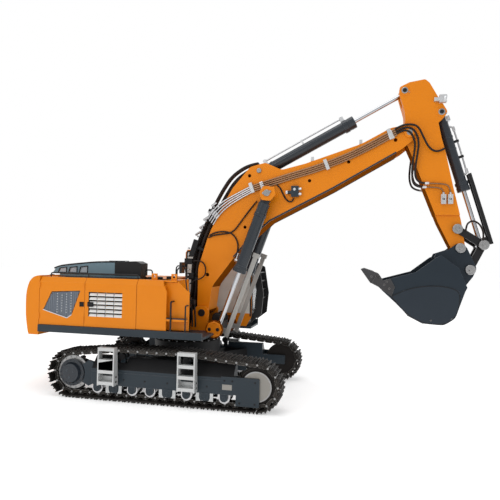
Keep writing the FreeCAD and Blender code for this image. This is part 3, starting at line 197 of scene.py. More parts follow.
def surface(name, base, dark=None, rough=0.4, metal=0.0, coat=0.0, grain=900.0, bump=0.15, edge_highlight_and_wear=0.0,
            edge_highlight_and_wear_color=(0.5, 0.5, 0.5), patches=0.3, spread=0.08, shine=0.22):
    """A solid finish: colour patches, a fine grain in bump and roughness, and edges lightened as painted highlight
    and wear.
    """
    material = bpy.data.materials.new(name)
    material.use_nodes = True
    tree = material.node_tree
    shader = tree.nodes["Principled BSDF"]
    coordinates = add_node(tree, "ShaderNodeTexCoord").outputs["Object"]
    dark = dark or tuple(0.8 * c for c in base)
    cloud = scaled(tree, noise(tree, coordinates, 18, 4), 0.42, 0.72, 0, patches)
    fine = noise(tree, coordinates, grain)
    color = mix_colors(tree, cloud, base, dark)
    # Painted highlight along sharp edges: the colour is mixed towards a lighter one there. On chain and bucket
    # steel it also stands for wear.
    if edge_highlight_and_wear:
        edge_highlight_and_wear_mix = add_node(tree, "ShaderNodeMath", operation="MULTIPLY")
        tree.links.new(edge_mask(tree, 0.0007), edge_highlight_and_wear_mix.inputs[0])
        tree.links.new(scaled(tree, noise(tree, coordinates, 260), 0.3, 0.6, 0.25 * edge_highlight_and_wear, edge_highlight_and_wear),
                       edge_highlight_and_wear_mix.inputs[1])
        color = mix_colors(tree, edge_highlight_and_wear_mix.outputs[0], color, edge_highlight_and_wear_color)
    tree.links.new(color, shader.inputs["Base Color"])
    tree.links.new(scaled(tree, fine, 0.3, 0.7, max(rough - spread, 0.02), rough + spread),
                   shader.inputs["Roughness"])
    shader.inputs["Metallic"].default_value = metal
    shader.inputs["Specular IOR Level"].default_value = shine
    shader.inputs["Coat Weight"].default_value = coat
    shader.inputs["Coat Roughness"].default_value = 0.12
    if bump:
        relief = add_node(tree, "ShaderNodeBump", Strength=bump, Distance=0.0002)
        tree.links.new(fine, relief.inputs["Height"])
        tree.links.new(relief.outputs[0], shader.inputs["Normal"])
    return material


def braided(name, base):
    """Woven hose cover: two sets of crossing ridges."""
    material = surface(name, base, rough=0.5, bump=0)
    tree = material.node_tree
    shader = tree.nodes["Principled BSDF"]
    coordinates = add_node(tree, "ShaderNodeTexCoord").outputs["Object"]
    heights = []
    for turn in (0.7, -0.7):
        turned = add_node(tree, "ShaderNodeMapping", Rotation=(turn, turn, turn))
        tree.links.new(coordinates, turned.inputs["Vector"])
        wave = add_node(tree, "ShaderNodeTexWave", Scale=420.0, Distortion=0.6)
        tree.links.new(turned.outputs[0], wave.inputs["Vector"])
        heights.append(wave.outputs["Fac"])
    higher = add_node(tree, "ShaderNodeMath", operation="MAXIMUM")
    for socket, height in zip(higher.inputs, heights):
        tree.links.new(height, socket)
    relief = add_node(tree, "ShaderNodeBump", Strength=0.5, Distance=0.0003)
    tree.links.new(higher.outputs[0], relief.inputs["Height"])
    tree.links.new(relief.outputs[0], shader.inputs["Normal"])
    return material


def clear_glass(name, tint):
    """Thin clear pane with a faint waviness."""
    material = bpy.data.materials.new(name)
    material.use_nodes = True
    tree = material.node_tree
    shader = tree.nodes["Principled BSDF"]
    shader.inputs["Base Color"].default_value = (*tint, 1)
    shader.inputs["Transmission Weight"].default_value = 0.85
    shader.inputs["Roughness"].default_value = 0.04
    shader.inputs["IOR"].default_value = 1.3
    relief = add_node(tree, "ShaderNodeBump", Strength=0.03, Distance=0.0003)
    coordinates = add_node(tree, "ShaderNodeTexCoord").outputs["Object"]
    tree.links.new(noise(tree, coordinates, 30), relief.inputs["Height"])
    tree.links.new(relief.outputs[0], shader.inputs["Normal"])
    return material


ORANGE = surface("orange_coat", (0.74, 0.218, 0.003), (0.66, 0.180, 0.002), rough=0.40, coat=0.05,
                 grain=1400, bump=0.06, edge_highlight_and_wear=0.4, edge_highlight_and_wear_color=(0.90, 0.45, 0.12))
# Painted shade: a dull, darker copy of the orange paint for the boom's undersides, the stick's rear faces and the
# ring round the cylinder lugs.
ORANGE_PAINTED_SHADE = surface("orange_shadow", (0.20, 0.052, 0.003), rough=0.8, grain=1400, bump=0.06, shine=0.0)
GREY = surface("grey_coat", (0.024, 0.035, 0.045), (0.017, 0.025, 0.033), rough=0.40, coat=0.1, grain=1200,
               bump=0.08, edge_highlight_and_wear=0.5, edge_highlight_and_wear_color=(0.20, 0.22, 0.24))
HOOD_GREY = surface("hood_coat", (0.17, 0.26, 0.31), rough=0.38, coat=0.1, grain=1200, bump=0.06, edge_highlight_and_wear=0.4,
                    edge_highlight_and_wear_color=(0.35, 0.42, 0.47))
BLACK = surface("black_coat", (0.012, 0.012, 0.013), rough=0.36, coat=0.1, grain=1200, bump=0.08, edge_highlight_and_wear=0.4,
                edge_highlight_and_wear_color=(0.09, 0.09, 0.10))
WORN_STEEL = surface("track_steel", (0.014, 0.012, 0.011), (0.030, 0.026, 0.023), rough=0.46, metal=0.1,
                     grain=700, bump=0.5, edge_highlight_and_wear=0.6, edge_highlight_and_wear_color=(0.20, 0.188, 0.175), patches=0.35, spread=0.14,
                     shine=0.12)
BRIGHT_STEEL = surface("turned_steel", (0.55, 0.55, 0.56), (0.40, 0.40, 0.41), rough=0.24, metal=1.0,
                       grain=1600, bump=0.08, edge_highlight_and_wear=0.2, edge_highlight_and_wear_color=(0.8, 0.8, 0.8))
PIN_STEEL = surface("pin_steel", (0.34, 0.34, 0.34), (0.24, 0.24, 0.24), rough=0.30, metal=0.9, grain=1600,
                    bump=0.1, edge_highlight_and_wear=0.4, edge_highlight_and_wear_color=(0.65, 0.65, 0.64))
GUARD_STEEL = surface("guard_steel", (0.36, 0.35, 0.33), (0.27, 0.26, 0.25), rough=0.36, metal=0.6,
                      grain=1500, bump=0.12, edge_highlight_and_wear=0.4, edge_highlight_and_wear_color=(0.6, 0.6, 0.58))
CHROME = surface("chrome", (0.52, 0.53, 0.55), rough=0.07, metal=1.0, grain=2000, bump=0.02, patches=0.05,
                 spread=0.02)
CYLINDER = surface("cylinder_coat", (0.022, 0.028, 0.036), rough=0.28, coat=0.35, grain=1400, bump=0.05,
                   edge_highlight_and_wear=0.4, edge_highlight_and_wear_color=(0.18, 0.21, 0.24))
BUCKET = surface("bucket_coat", (0.015, 0.024, 0.034), (0.010, 0.017, 0.025), rough=0.42, coat=0.05,
                 grain=900, bump=0.18, edge_highlight_and_wear=0.6, edge_highlight_and_wear_color=(0.14, 0.16, 0.19))
ALUMINIUM = surface("blasted_aluminium", (0.62, 0.63, 0.64), (0.50, 0.51, 0.52), rough=0.38, metal=0.75,
                    grain=1800, bump=0.2, edge_highlight_and_wear=0.3, edge_highlight_and_wear_color=(0.85, 0.85, 0.86))
SILVER_PAINT = surface("silver_coat", (0.56, 0.57, 0.57), rough=0.42, metal=0.25, grain=1500, bump=0.1,
                       edge_highlight_and_wear=0.3, edge_highlight_and_wear_color=(0.8, 0.8, 0.8))
BEIGE = surface("beige_coat", (0.30, 0.285, 0.26), (0.20, 0.19, 0.17), rough=0.4, grain=900, bump=0.15,
                edge_highlight_and_wear=0.3, edge_highlight_and_wear_color=(0.5, 0.48, 0.45))
# Louvre slats: the pale colour is partly the blades' own and partly painted highlight where they catch the light.
PALE_SLAT_AND_HIGHLIGHT = surface("pale_blades_and_highlight", (0.80, 0.79, 0.77), rough=0.4, grain=900, bump=0.05)
SCREEN = surface("screen_steel", (0.17, 0.19, 0.22), rough=0.34, metal=0.6, grain=1500, bump=0.1)
# Dark plastic. The same finish is also painted shade on the track frames' top slopes, on the sheet behind the
# louvre slats and, in part, on the cross frame.
DARK = surface("dark_plastic_and_painted_shade", (0.012, 0.012, 0.013), rough=0.5, grain=1600, bump=0.3, edge_highlight_and_wear=0.2,
               edge_highlight_and_wear_color=(0.06, 0.06, 0.06))
CHAIN_STEEL = surface("chain_steel", (0.030, 0.027, 0.024), (0.075, 0.068, 0.062), rough=0.40, metal=0.6,
                      grain=700, bump=0.4, edge_highlight_and_wear=1.0, edge_highlight_and_wear_color=(0.55, 0.53, 0.50), patches=0.8, spread=0.12)
WARM_STEEL = surface("warm_steel", (0.32, 0.18, 0.10), (0.22, 0.11, 0.06), rough=0.26, metal=0.9,
                     grain=1500, bump=0.06, patches=0.6)
BUCKET_WEAR = surface("bucket_plate", (0.020, 0.029, 0.040), (0.015, 0.021, 0.029), rough=0.38, coat=0.05,
                      grain=900, bump=0.18, edge_highlight_and_wear=0.7, edge_highlight_and_wear_color=(0.15, 0.17, 0.20))
BUCKET_EDGE = surface("bucket_edge", (0.060, 0.060, 0.064), (0.040, 0.037, 0.035), rough=0.40, metal=0.3,
                      grain=800, bump=0.3, edge_highlight_and_wear=0.9, edge_highlight_and_wear_color=(0.30, 0.29, 0.28), patches=0.6)
SEAT_CLOTH = surface("seat_cloth", (0.030, 0.030, 0.034), rough=0.85, grain=2600, bump=0.6)
PANE = surface("pane", (0.42, 0.46, 0.50), (0.30, 0.34, 0.38), rough=0.14, coat=0.6, grain=60, bump=0.03,
               patches=0.8)
# Painted reflection: an opaque pale pane for the cab's side glass, its whitish colour standing in for the white
# surround it reflects.
CAB_PANE_PAINTED_REFLECTION = surface("cab_pane_painted_reflection", (0.70, 0.68, 0.63), (0.56, 0.54, 0.50), rough=0.10, coat=0.6, grain=40,
                   bump=0.03, patches=0.7)
RED_LENS = surface("red_lens", (0.50, 0.020, 0.014), rough=0.12, coat=0.6, grain=500, bump=0.25)
HOSE = braided("hose_cover", (0.020, 0.014, 0.012))
GLASS = clear_glass("window_glass", (0.80, 0.84, 0.86))


# ---------------------------------------------------------------- drawing
def corners(u, v):
    """The four corners of a rectangle between two pairs of limits."""
    return [(u[0], v[0]), (u[1], v[0]), (u[1], v[1]), (u[0], v[1])]


class Shape:
    """The solids of one piece, drawn in machine millimetres."""

    def __init__(self):
        self.mesh = bmesh.new()

    def prism(self, outline, low, high, axis="Y"):
        """An outline stretched along an axis: (x, z) pairs for Y, (y, z) for X and (x, y) for Z."""
        order = {"X": (2, 0, 1), "Y": (0, 2, 1), "Z": (0, 1, 2)}[axis]
        near, far = ([self.mesh.verts.new([(a, b, level)[i] for i in order]) for a, b in outline]
                     for level in (low, high))
        self.join(near, far)
        self.mesh.faces.new(near)
        self.mesh.faces.new(far[::-1])
        return self

    def join(self, ring, other):
        """Faces between two closed rings of points."""
        for i, corner in enumerate(ring):
            self.mesh.faces.new((ring[i - 1], corner, other[i], other[i - 1]))

    def box(self, x, y, z):
        """A box between limits."""
        return self.prism(corners(x, z), *y)

    def rim(self, outer, inner, low, high):
        """A flat frame between two outlines with the same number of corners."""
        for i, corner in enumerate(outer):
            self.prism([outer[i - 1], corner, inner[i], inner[i - 1]], low, high)
        return self

    def lathe(self, profile, place, toward, sides=28):
        """A turned solid: (radius, height) pairs along a direction from a place; closed at both ends."""
        turn = Vector(toward).to_track_quat("Z", "Y").to_matrix()
        rings = []
        angles = [2 * pi * i / sides for i in range(sides)]
        for radius, height in profile:
            circle = [Vector((radius * cos(a), radius * sin(a), height)) for a in angles]
            rings.append([self.mesh.verts.new(Vector(place) + turn @ point) for point in circle])
        for ring, other in zip(rings, rings[1:]):
            self.join(ring, other)
        self.mesh.faces.new(rings[0][::-1])
        self.mesh.faces.new(rings[-1])
        return self

    def bar(self, start, end, radius, sides=20, chamfer=0.4):
        """A round bar with chamfered ends."""
        run = Vector(end) - Vector(start)
        far = run.length
        inner = radius - chamfer
        return self.lathe([(inner, 0), (radius, chamfer), (radius, far - chamfer), (inner, far)], start,
                          run, sides)

    def bolt(self, place, toward, size=1.6, height=1.0):
        """A hexagon bolt head on a washer."""
        self.lathe([(size * 1.25, -0.3), (size * 1.25, 0.3)], place, toward, 16)
        return self.lathe([(size, 0.2), (size, height * 0.75), (size * 0.82, height), (size * 0.4, height)],
                          place, toward, 6)

    def ring_nut(self, centre, face, out, radius, height, bolts, bolt_radius, bolt_size):
        """A round cap on a side face at y = face, with a ring of small bolts."""
        self.lathe([(radius, 0), (radius, height - 0.5), (radius - 0.6, height), (0.2, height)],
                   (centre[0], face, centre[1]), (0, out, 0), 32)
        return self.bolt_ring(centre, bolt_radius, face + out * height, out, bolts, bolt_size, 0.7)

    def bolt_ring(self, centre, reach, face, out, count, size, height, turn=0.5):
        """Bolts evenly round a centre on a side face at y = face."""
        for i in range(count):
            angle = 2 * pi * (i + turn) / count
            self.bolt((centre[0] + reach * cos(angle), face, centre[1] + reach * sin(angle)), (0, out, 0),
                      size, height)
        return self


def show(obj, body, bevel, replaced=()):
    """Round a piece's edges, tie it to its body and hide the CAD nodes it stands for."""
    if obj.name not in bpy.context.scene.collection.objects:
        bpy.context.scene.collection.objects.link(obj)
    if bevel:
        rounding = obj.modifiers.new("edges", "BEVEL")
        rounding.width, rounding.segments = bevel * MM, 2
        rounding.limit_method, rounding.angle_limit = "ANGLE", radians(32)
        rounding.use_clamp_overlap = True
        rounding.miter_outer = "MITER_ARC"
        obj.modifiers.new("normals", "WEIGHTED_NORMAL")
    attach(obj, body)
    if replaced:
        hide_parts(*replaced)
    return obj


def piece(shape, name, body, finish, bevel=0.25, replaced=()):
    """Turn a drawn shape into a piece of the machine."""
    bmesh.ops.recalc_face_normals(shape.mesh, faces=shape.mesh.faces)
    bmesh.ops.transform(shape.mesh, matrix=TO_FRAME, verts=shape.mesh.verts)
    mesh = bpy.data.meshes.new(name)
    shape.mesh.to_mesh(mesh)
    shape.mesh.free()
    mesh.shade_smooth()
    mesh.set_sharp_from_angle(angle=radians(40))
    mesh.materials.append(finish)
    return show(bpy.data.objects.new(name, mesh), body, bevel, replaced)


def tube_curve(name, routes, radius, finish):
    """Round tubes or hoses, each a smooth curve led by its own points."""
    data = bpy.data.curves.new(name, "CURVE")
    data.dimensions = "3D"
    data.bevel_depth, data.bevel_resolution, data.use_fill_caps = radius * MM, 4, True
    for route in routes:
        line = data.splines.new("NURBS")
        line.points.add(len(route) - 1)
        for point, place in zip(line.points, route):
            point.co = (*at(*place), 1)
        line.order_u = 3
        line.use_endpoint_u = True
        line.resolution_u = 8
    data.materials.append(finish)
    return bpy.data.objects.new(name, data)


def tubes(name, routes, radius, body, finish, replaced=()):
    """Tubes that ride on one body."""
    return show(tube_curve(name, routes, radius, finish), body, 0, replaced)


NODE_BODY = {node: body for body, nodes in frame["record"]["behaviour"]["bodies"].items() for node in nodes}


def dress(node, finish, bevel=0.35, others=()):
    """Stand a copy with rounded edges in for a CAD node.

    others holds (finish, test) pairs: faces whose machine centre and normal pass the test get that finish.
    """
    source = frame["nodes"][node].data
    work = bmesh.new()
    work.from_mesh(source)
    bmesh.ops.remove_doubles(work, verts=work.verts, dist=2e-6)
    bmesh.ops.dissolve_limit(work, angle_limit=radians(0.5), verts=work.verts, edges=work.edges)
    work.verts.index_update()
    mesh = bpy.data.meshes.new(node + "_body")
    mesh.from_pydata([v.co[:] for v in work.verts], [], [[v.index for v in f.verts] for f in work.faces])
    work.free()
    mesh.shade_smooth()
    mesh.set_sharp_from_angle(angle=radians(32))
    mesh.materials.append(finish)
    for index, (other, test) in enumerate(others, start=1):
        mesh.materials.append(other)
        for face in mesh.polygons:
            x, y, z = face.center[0] / MM + ORIGIN_X, face.center[1] / MM, face.center[2] / MM
            if test(x, y, z, face.normal):
                face.material_index = index
    obj = bpy.data.objects.new(node + "_body", mesh)
    return show(obj, NODE_BODY[node], bevel, (node,))


# ---------------------------------------------------------------- drawing aids
def across(out, near, far):
    """Limits in y between two distances from the middle plane, on one side."""
    return sorted((out * near, out * far))


def beside(line, along, off=0.0):
    """The (x, z) point a distance along a line, and off it to the left of its travel."""
    start, end = line
    run = hypot(end[0] - start[0], end[1] - start[1])
    ux, uz = (end[0] - start[0]) / run, (end[1] - start[1]) / run
    return start[0] + ux * along - uz * off, start[1] + uz * along + ux * off


def spot(line, along, off=0.0, y=0.0):
    """beside() as a three-dimensional point."""
    x, z = beside(line, along, off)
    return x, y, z


def direction(line):
    """The direction of a line in the middle plane."""
    return line[1][0] - line[0][0], 0, line[1][1] - line[0][1]


def patch(line, along, off):
    """Corners of a rectangle beside a line, between two distances along it and two off it."""
    return [beside(line, a, b) for a, b in corners(along, off)]


def tilted(middle, tilt, along, up):
    """Corners of a rectangle about a point, turned by tilt."""
    return [(middle[0] + a * cos(tilt) - b * sin(tilt), middle[1] + a * sin(tilt) + b * cos(tilt)) for a,
            b in corners(along, up)]


def arc(centre, radius, begin, end, steps):
    """Points of an arc between two angles in degrees."""
    angles = [radians(begin + (end - begin) * i / steps) for i in range(steps + 1)]
    return [(centre[0] + radius * cos(a), centre[1] + radius * sin(a)) for a in angles]


def within(middle, reach):
    """A test for faces close to an (x, z) point."""
    return lambda x, y, z, n: hypot(x - middle[0], z - middle[1]) < reach


def blended(name, routes, radius, finish, replaced=()):
    """Hoses made into one fixed mesh in place, tied to no body; the CAD nodes they stand for are hidden."""
    curve = tube_curve(name + "_line", routes, radius, finish)
    mesh = bpy.data.meshes.new_from_object(curve)
    bpy.data.objects.remove(curve)
    mesh.shade_smooth()
    obj = bpy.data.objects.new(name, mesh)
    bpy.context.scene.collection.objects.link(obj)
    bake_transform(obj)
    if replaced:
        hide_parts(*replaced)
    return obj


# ---------------------------------------------------------------- tracks
TRACK_Y = 117.5
DRIVE, IDLER = pivot("right_drive_turn"), pivot("right_idler_turn")
PIN_RADIUS = 32.5
CARRIERS = ((50, 83.5), (-66, 83.5))
SHOES = 50
ROLLERS = [(-108 + 32.1 * i, 19.3) for i in range(8)]
GUARDED = (1, 4, 6)


def track_stations():
    """Where each link sits on the closed pin line: x, z and heading, evenly spaced."""
    def tangent(wheel, point, side):
        away = hypot(point[0] - wheel[0], point[1] - wheel[1])
        return atan2(point[1] - wheel[1], point[0] - wheel[0]) + side * acos(PIN_RADIUS / away)

    def on_wheel(wheel, angle):
        return wheel[0] + PIN_RADIUS * cos(angle), wheel[1] + PIN_RADIUS * sin(angle)

    def line(start, end):
        heading = atan2(end[1] - start[1], end[0] - start[0])
        run = hypot(end[0] - start[0], end[1] - start[1])
        return run, lambda d: (start[0] + cos(heading) * d, start[1] + sin(heading) * d, heading)

    def turn(wheel, begin, end):
        return PIN_RADIUS * (end - begin), lambda d: (*on_wheel(wheel, begin + d / PIN_RADIUS),
                                                      begin + d / PIN_RADIUS + pi / 2)

    leave, arrive = tangent(IDLER, CARRIERS[0], -1), tangent(DRIVE, CARRIERS[1], 1)
    stretches = [line(on_wheel(DRIVE, -pi / 2), on_wheel(IDLER, -pi / 2)), turn(IDLER, -pi / 2, leave),
                 line(on_wheel(IDLER, leave), CARRIERS[0]), line(*CARRIERS),
                 line(CARRIERS[1], on_wheel(DRIVE, arrive)), turn(DRIVE, arrive, 3 * pi / 2)]
    pitch = sum(run for run, _ in stretches) / SHOES
    stations = []
    for i in range(SHOES):
        distance = (i + 0.5) * pitch
        for run, place in stretches:
            if distance <= run:
                break
            distance -= run
        stations.append(place(distance))
    return stations, pitch


def on_link(station, u, v):
    """A point u along and v outward from a link's middle."""
    x, z, heading = station
    return x + cos(heading) * u + sin(heading) * v, max(z + sin(heading) * u - cos(heading) * v, 0)


def add_tracks():
    """Shoes with three grousers, a lip and bolts; notched chain links on pins."""
    stations, pitch = track_stations()
    shoe = [(-8.3, 4), (-8.3, 5.6), (-7.4, 8.5), (-6.2, 8.5), (-5.6, 6), (-1, 5.6), (-0.6, 8.5), (0.6, 8.5),
            (1, 5.6), (5.6, 6), (6.0, 8.5), (7.2, 8.5), (7.8, 6.2), (8.7, 5.4), (8.5, 4.6), (6.8, 4)]
    notch = [(4.6 * cos(a), 4 - 3.0 * sin(a)) for a in [pi * i / 8 for i in range(9)]]
    link = [(8.7, 4)] + notch + [(-8.7, 4), (-8.7, 0.6), (-7.4, -2.4), (-6, -3.5), (6, -3.5), (7.4, -2.4),
                                 (8.7, 0.6)]
    for side, out in SIDES:
        middle = out * TRACK_Y
        plates, chain, pins, bolts = Shape(), Shape(), Shape(), Shape()
        for station in stations:
            outward = (sin(station[2]), 0, -cos(station[2]))
            plates.prism([on_link(station, u, v) for u, v in shoe], middle - 20.5, middle + 20.5)
            for rail in (-1, 1):
                chain.prism([on_link(station, u, v) for u, v in link],
                            *sorted((middle + rail * 6, middle + rail * 9)))
            x, z = on_link(station, pitch / 2, 0)
            pins.bar((x, middle - 10, z), (x, middle + 10, z), 1.9, 12)
            for u in (-3.3, 3.3):
                x, z = on_link(station, u, 5.7)
                for y in (middle - 16, middle - 7.5, middle + 7.5, middle + 16):
                    bolts.lathe([(1.5, -0.4), (1.5, 0.9), (1.2, 1.2), (0.2, 1.2)], (x, y, z), outward, 6)
        piece(plates, f"{side}_shoes", "undercarriage", WORN_STEEL, 0.3,
              (f"{side}_track_shoes",))
        piece(chain, f"{side}_chain", "undercarriage", CHAIN_STEEL, 0.25,
              (f"{side}_track_links",))
        piece(pins, f"{side}_chain_pins", "undercarriage", PIN_STEEL, 0)
        piece(bolts, f"{side}_shoe_bolts", "undercarriage", WORN_STEEL, 0)


def add_wheels():
    """Drive caps with their bolt rings, idler rims, roller ends and guide plates."""
    x, z = DRIVE
    for side, out in SIDES:
        ring = Shape().bolt_ring(DRIVE, 20.6, out * 128.4, out, 18, 1.15, 1.3, 0)
        piece(ring, f"{side}_drive_bolts", f"{side}_drive", CYLINDER, 0.1)
        teeth = Shape().bolt_ring(DRIVE, 26.3, out * 123.2, out, 16, 1.4, 1.2)
        teeth.lathe([(29, 0), (29, 0.6), (28.4, 0.9), (22, 0.9)], (x, out * 122.4, z), (0, out, 0), 48)
        piece(teeth, f"{side}_tooth_ring", f"{side}_drive", PIN_STEEL, 0.15)
        cap = Shape()
        cap.lathe([(12.5, 0), (12.5, 0.5), (11.6, 0.9), (3, 0.9)], (x, out * 134, z), (0, out, 0), 40)
        cap.bolt_ring(DRIVE, 7.5, out * 134.8, out, 3, 1.2, 0.8, 0.6 / pi)
        piece(cap, f"{side}_drive_cap", f"{side}_drive", CYLINDER, 0.15)
        rim = Shape()
        rim.lathe([(22.3, 0), (22.3, 0.5), (24.3, 0.5), (24.3, -1.6), (23.9, -2), (22.5, -2)],
                  (IDLER[0], out * 130.3, IDLER[1]), (0, out, 0), 56)
        piece(rim, f"{side}_idler_rim", f"{side}_front_wheel", PIN_STEEL, 0.15)
    lobes, guides = Shape(), Shape()
    for _, out in SIDES:
        for i, (x, z) in enumerate(ROLLERS):
            face = 132.9 if i in GUARDED else 131.7
            lobes.prism([(x - 6.6, 26)] + arc((x, z), 6.6, 180, 360, 12) + [(x + 6.6, 26)],
                        *across(out, 129.3, face))
            lobes.lathe([(2.4, 0), (2.4, 0.6), (1.8, 0.9), (0.4, 0.9)], (x, out * face, z), (0, out, 0), 16)
            if i in GUARDED:
                notch = arc((x, z), 9.2, 180, 360, 12)
                guides.prism([(x - 14.6, 25.4), (x - 9.2, 25.4)] + notch + [(x + 9.2, 25.4),
                                                                            (x + 14.6, 25.4),
                                                                            (x + 14.6, 12.2),
                                                                            (x - 14.6, 12.2)],
                             *across(out, 131.8, 132.7))
    piece(lobes, "roller_ends", "undercarriage", GREY, 0.3)
    piece(guides, "chain_guides", "undercarriage", SILVER_PAINT, 0.25)


def add_undercarriage():
    """Plates, bolts and covers on the track frames and ladders."""
    plates, bolts, sign = Shape(), Shape(), Shape()
    for _, out in SIDES:
        hub = arc(DRIVE, 24.5, -38, 38, 10)
        plates.prism([(-118, 24)] + [(-126, 20)] + hub + [(-126, 64), (-118, 62)],
                     *across(out, 123.4, 127.6))
        plates.box((-117, 111), across(out, 131.9, 132.5), (46.5, 48))
        sign.box((114.5, 130.5), across(out, 133.9, 134.4), (33.5, 42))
        for x in (116, 129):
            sign.bolt((x, out * 134.3, 37.8), (0, out, 0), 0.6, 0.5)
        for x in (-67.5, 73):
            for z in (34, 42):
                bolts.bolt((x, out * 141.5, z), (1, 0, 0), 1.5, 0.9)
        for x in (-104, -58, -20, 20, 88):
            bolts.bolt((x, out * 131.9, 36), (0, out, 0), 1.2, 0.8)
        for x, z in ((118, 48), (131, 48), (168, 14), (168, 48), (143, 14)):
            bolts.bolt((x, out * 133.8, z), (0, out, 0), 1.3, 0.8)
    piece(plates, "frame_plates", "undercarriage", GREY, 0.25)
    piece(bolts, "frame_bolts", "undercarriage", DARK, 0.1)
    piece(sign, "blank_plates", "undercarriage", BEIGE, 0.15)


# ---------------------------------------------------------------- body
SCREEN_OUTLINE = ((-224, 146), (-176, 133), (-167, 139), (-151, 182), (-208, 179))


def span_at(outline, x):
    """The lowest and highest z of a convex outline at an x."""
    cuts = []
    for (x1, z1), (x2, z2) in zip(outline, outline[1:] + outline[:1]):
        if min(x1, x2) <= x <= max(x1, x2) and x1 != x2:
            cuts.append(z1 + (z2 - z1) * (x - x1) / (x2 - x1))
    return min(cuts), max(cuts)


def add_screen():
    """The rear door's screen: upright wires, cross wires, bolt heads and its bright lower rim."""
    wires, heads, rim = Shape(), Shape(), Shape()
    for i in range(20):
        x = -221 + 3.6 * i
        low, high = span_at(SCREEN_OUTLINE, x)
        wires.box((x - 0.35, x + 0.35), (-119.6, -118.9), (low + 0.6, high - 0.6))
    for i in range(14):
        z = 136 + 3.4 * i
        spans = ((x, *span_at(SCREEN_OUTLINE, x)) for x in range(-224, -150))
        spread = [x for x, low, high in spans if low + 0.6 < z < high - 0.6]
        if len(spread) > 3:
            wires.box((spread[0], spread[-1]), (-119.35, -118.9), (z - 0.25, z + 0.25))
    for column, x in enumerate((-196, -187, -178, -169)):
        for row in range(8):
            z = 143 + 4.6 * row + 2.3 * (column % 2)
            low, high = span_at(SCREEN_OUTLINE, x)
            if low + 3 < z < high - 3:
                heads.lathe([(0.95, 0), (0.95, 0.4), (0.5, 0.8), (0.1, 0.8)], (x, -119.4, z), (0, -1, 0),
                            10)
    for start, end in (((-224, 146), (-176, 133)), ((-176, 133), (-167, 139))):
        length = hypot(end[0] - start[0], end[1] - start[1])
        rim.prism(patch((start, end), (0, length), (-0.3, 1.1)), -120.3, -119)
    piece(wires, "screen_wires", "rear_door_leaf", SCREEN, 0.1)
    piece(heads, "screen_bolts", "rear_door_leaf", ALUMINIUM, 0)
    piece(rim, "screen_rim", "rear_door_leaf", ALUMINIUM, 0.15)


def add_door_trim():
    """Hinges, catches, lights and covers round the body."""
    latches = Shape()
    latches.box((-151.6, -143.5), (-121.2, -120), (154.4, 162.6))
    latches.box((-150, -145.1), (-121.8, -121.1), (156, 161))
    piece(latches, "rear_door_latch", "rear_door_leaf", DARK, 0.3)
    catch = Shape()
    catch.box((-136.4, -125), (-121.2, -120), (155, 163))
    catch.box((-134.6, -127), (-121.8, -121.1), (156.6, 161.6))
    piece(catch, "louvre_door_latch", "louvre_door_leaf", DARK, 0.3)
    bars = Shape()
    for x in (-118.6, -102.6, -86.6):
        bars.box((x - 0.35, x + 0.35), (-119.9, -119.5), (138.2, 180.3))
    bars.box((-134.6, -133.4), (-119.8, -117.4), (138.2, 180.3))
    piece(bars, "louvre_bars", "louvre_door_leaf", DARK, 0)
    # Painted shade: a dark sheet just behind the louvre slats stands in for the shade between them.
    shade_sheet = Shape()
    shade_sheet.box((-136, -70), (-116.9, -115.9), (136, 182.5))
    piece(shade_sheet, "louvre_shade_sheet", "louvre_door_leaf", DARK, 0.3)
    hinges = Shape()
    for x, high in ((-231, 190), (-231, 135), (-143.2, 190), (-143.2, 132)):
        hinges.bar((x, -120.6, high - 5), (x, -120.6, high + 5), 1.0, 12)
    piece(hinges, "door_hinges", "upper", ORANGE, 0.1)
    lamps = Shape()
    for _, out in SIDES:
        lamps.lathe([(6, -3), (6, 1.5), (5, 2.4), (1, 2.9)], (-270, out * 78, 150), (-1, out * 0.32, 0), 28)
    piece(lamps, "tail_lamps", "upper", RED_LENS, 0.2)
    caps = Shape()
    for _, out in SIDES:
        caps.lathe([(5, -2), (5, 0.6), (4.2, 1.1), (1, 1.1)], (-240, out * 72, 206.2), (0, 0, 1), 24)
        caps.bolt((-240, out * 72, 207.2), (0, 0, 1), 2, 1)
    piece(caps, "counterweight_caps", "upper", DARK, 0.2)
    seams = Shape()
    for x in (-178, -118, -70):
        seams.box((x - 0.5, x + 0.5), (119.7, 120.25), (121, 195.5))
    for x in (-170, -110):
        seams.box((x - 5, x + 0.5), (120, 121.2), (155, 162))
    for i in range(6):
        z = 142 + i * 6.4
        seams.prism([(120, z), (121.1, z - 0.6), (121.1, z + 0.4), (120, z + 3)], -164, -126, "X")
    piece(seams, "left_vents_and_latches", "upper", DARK, 0.2)


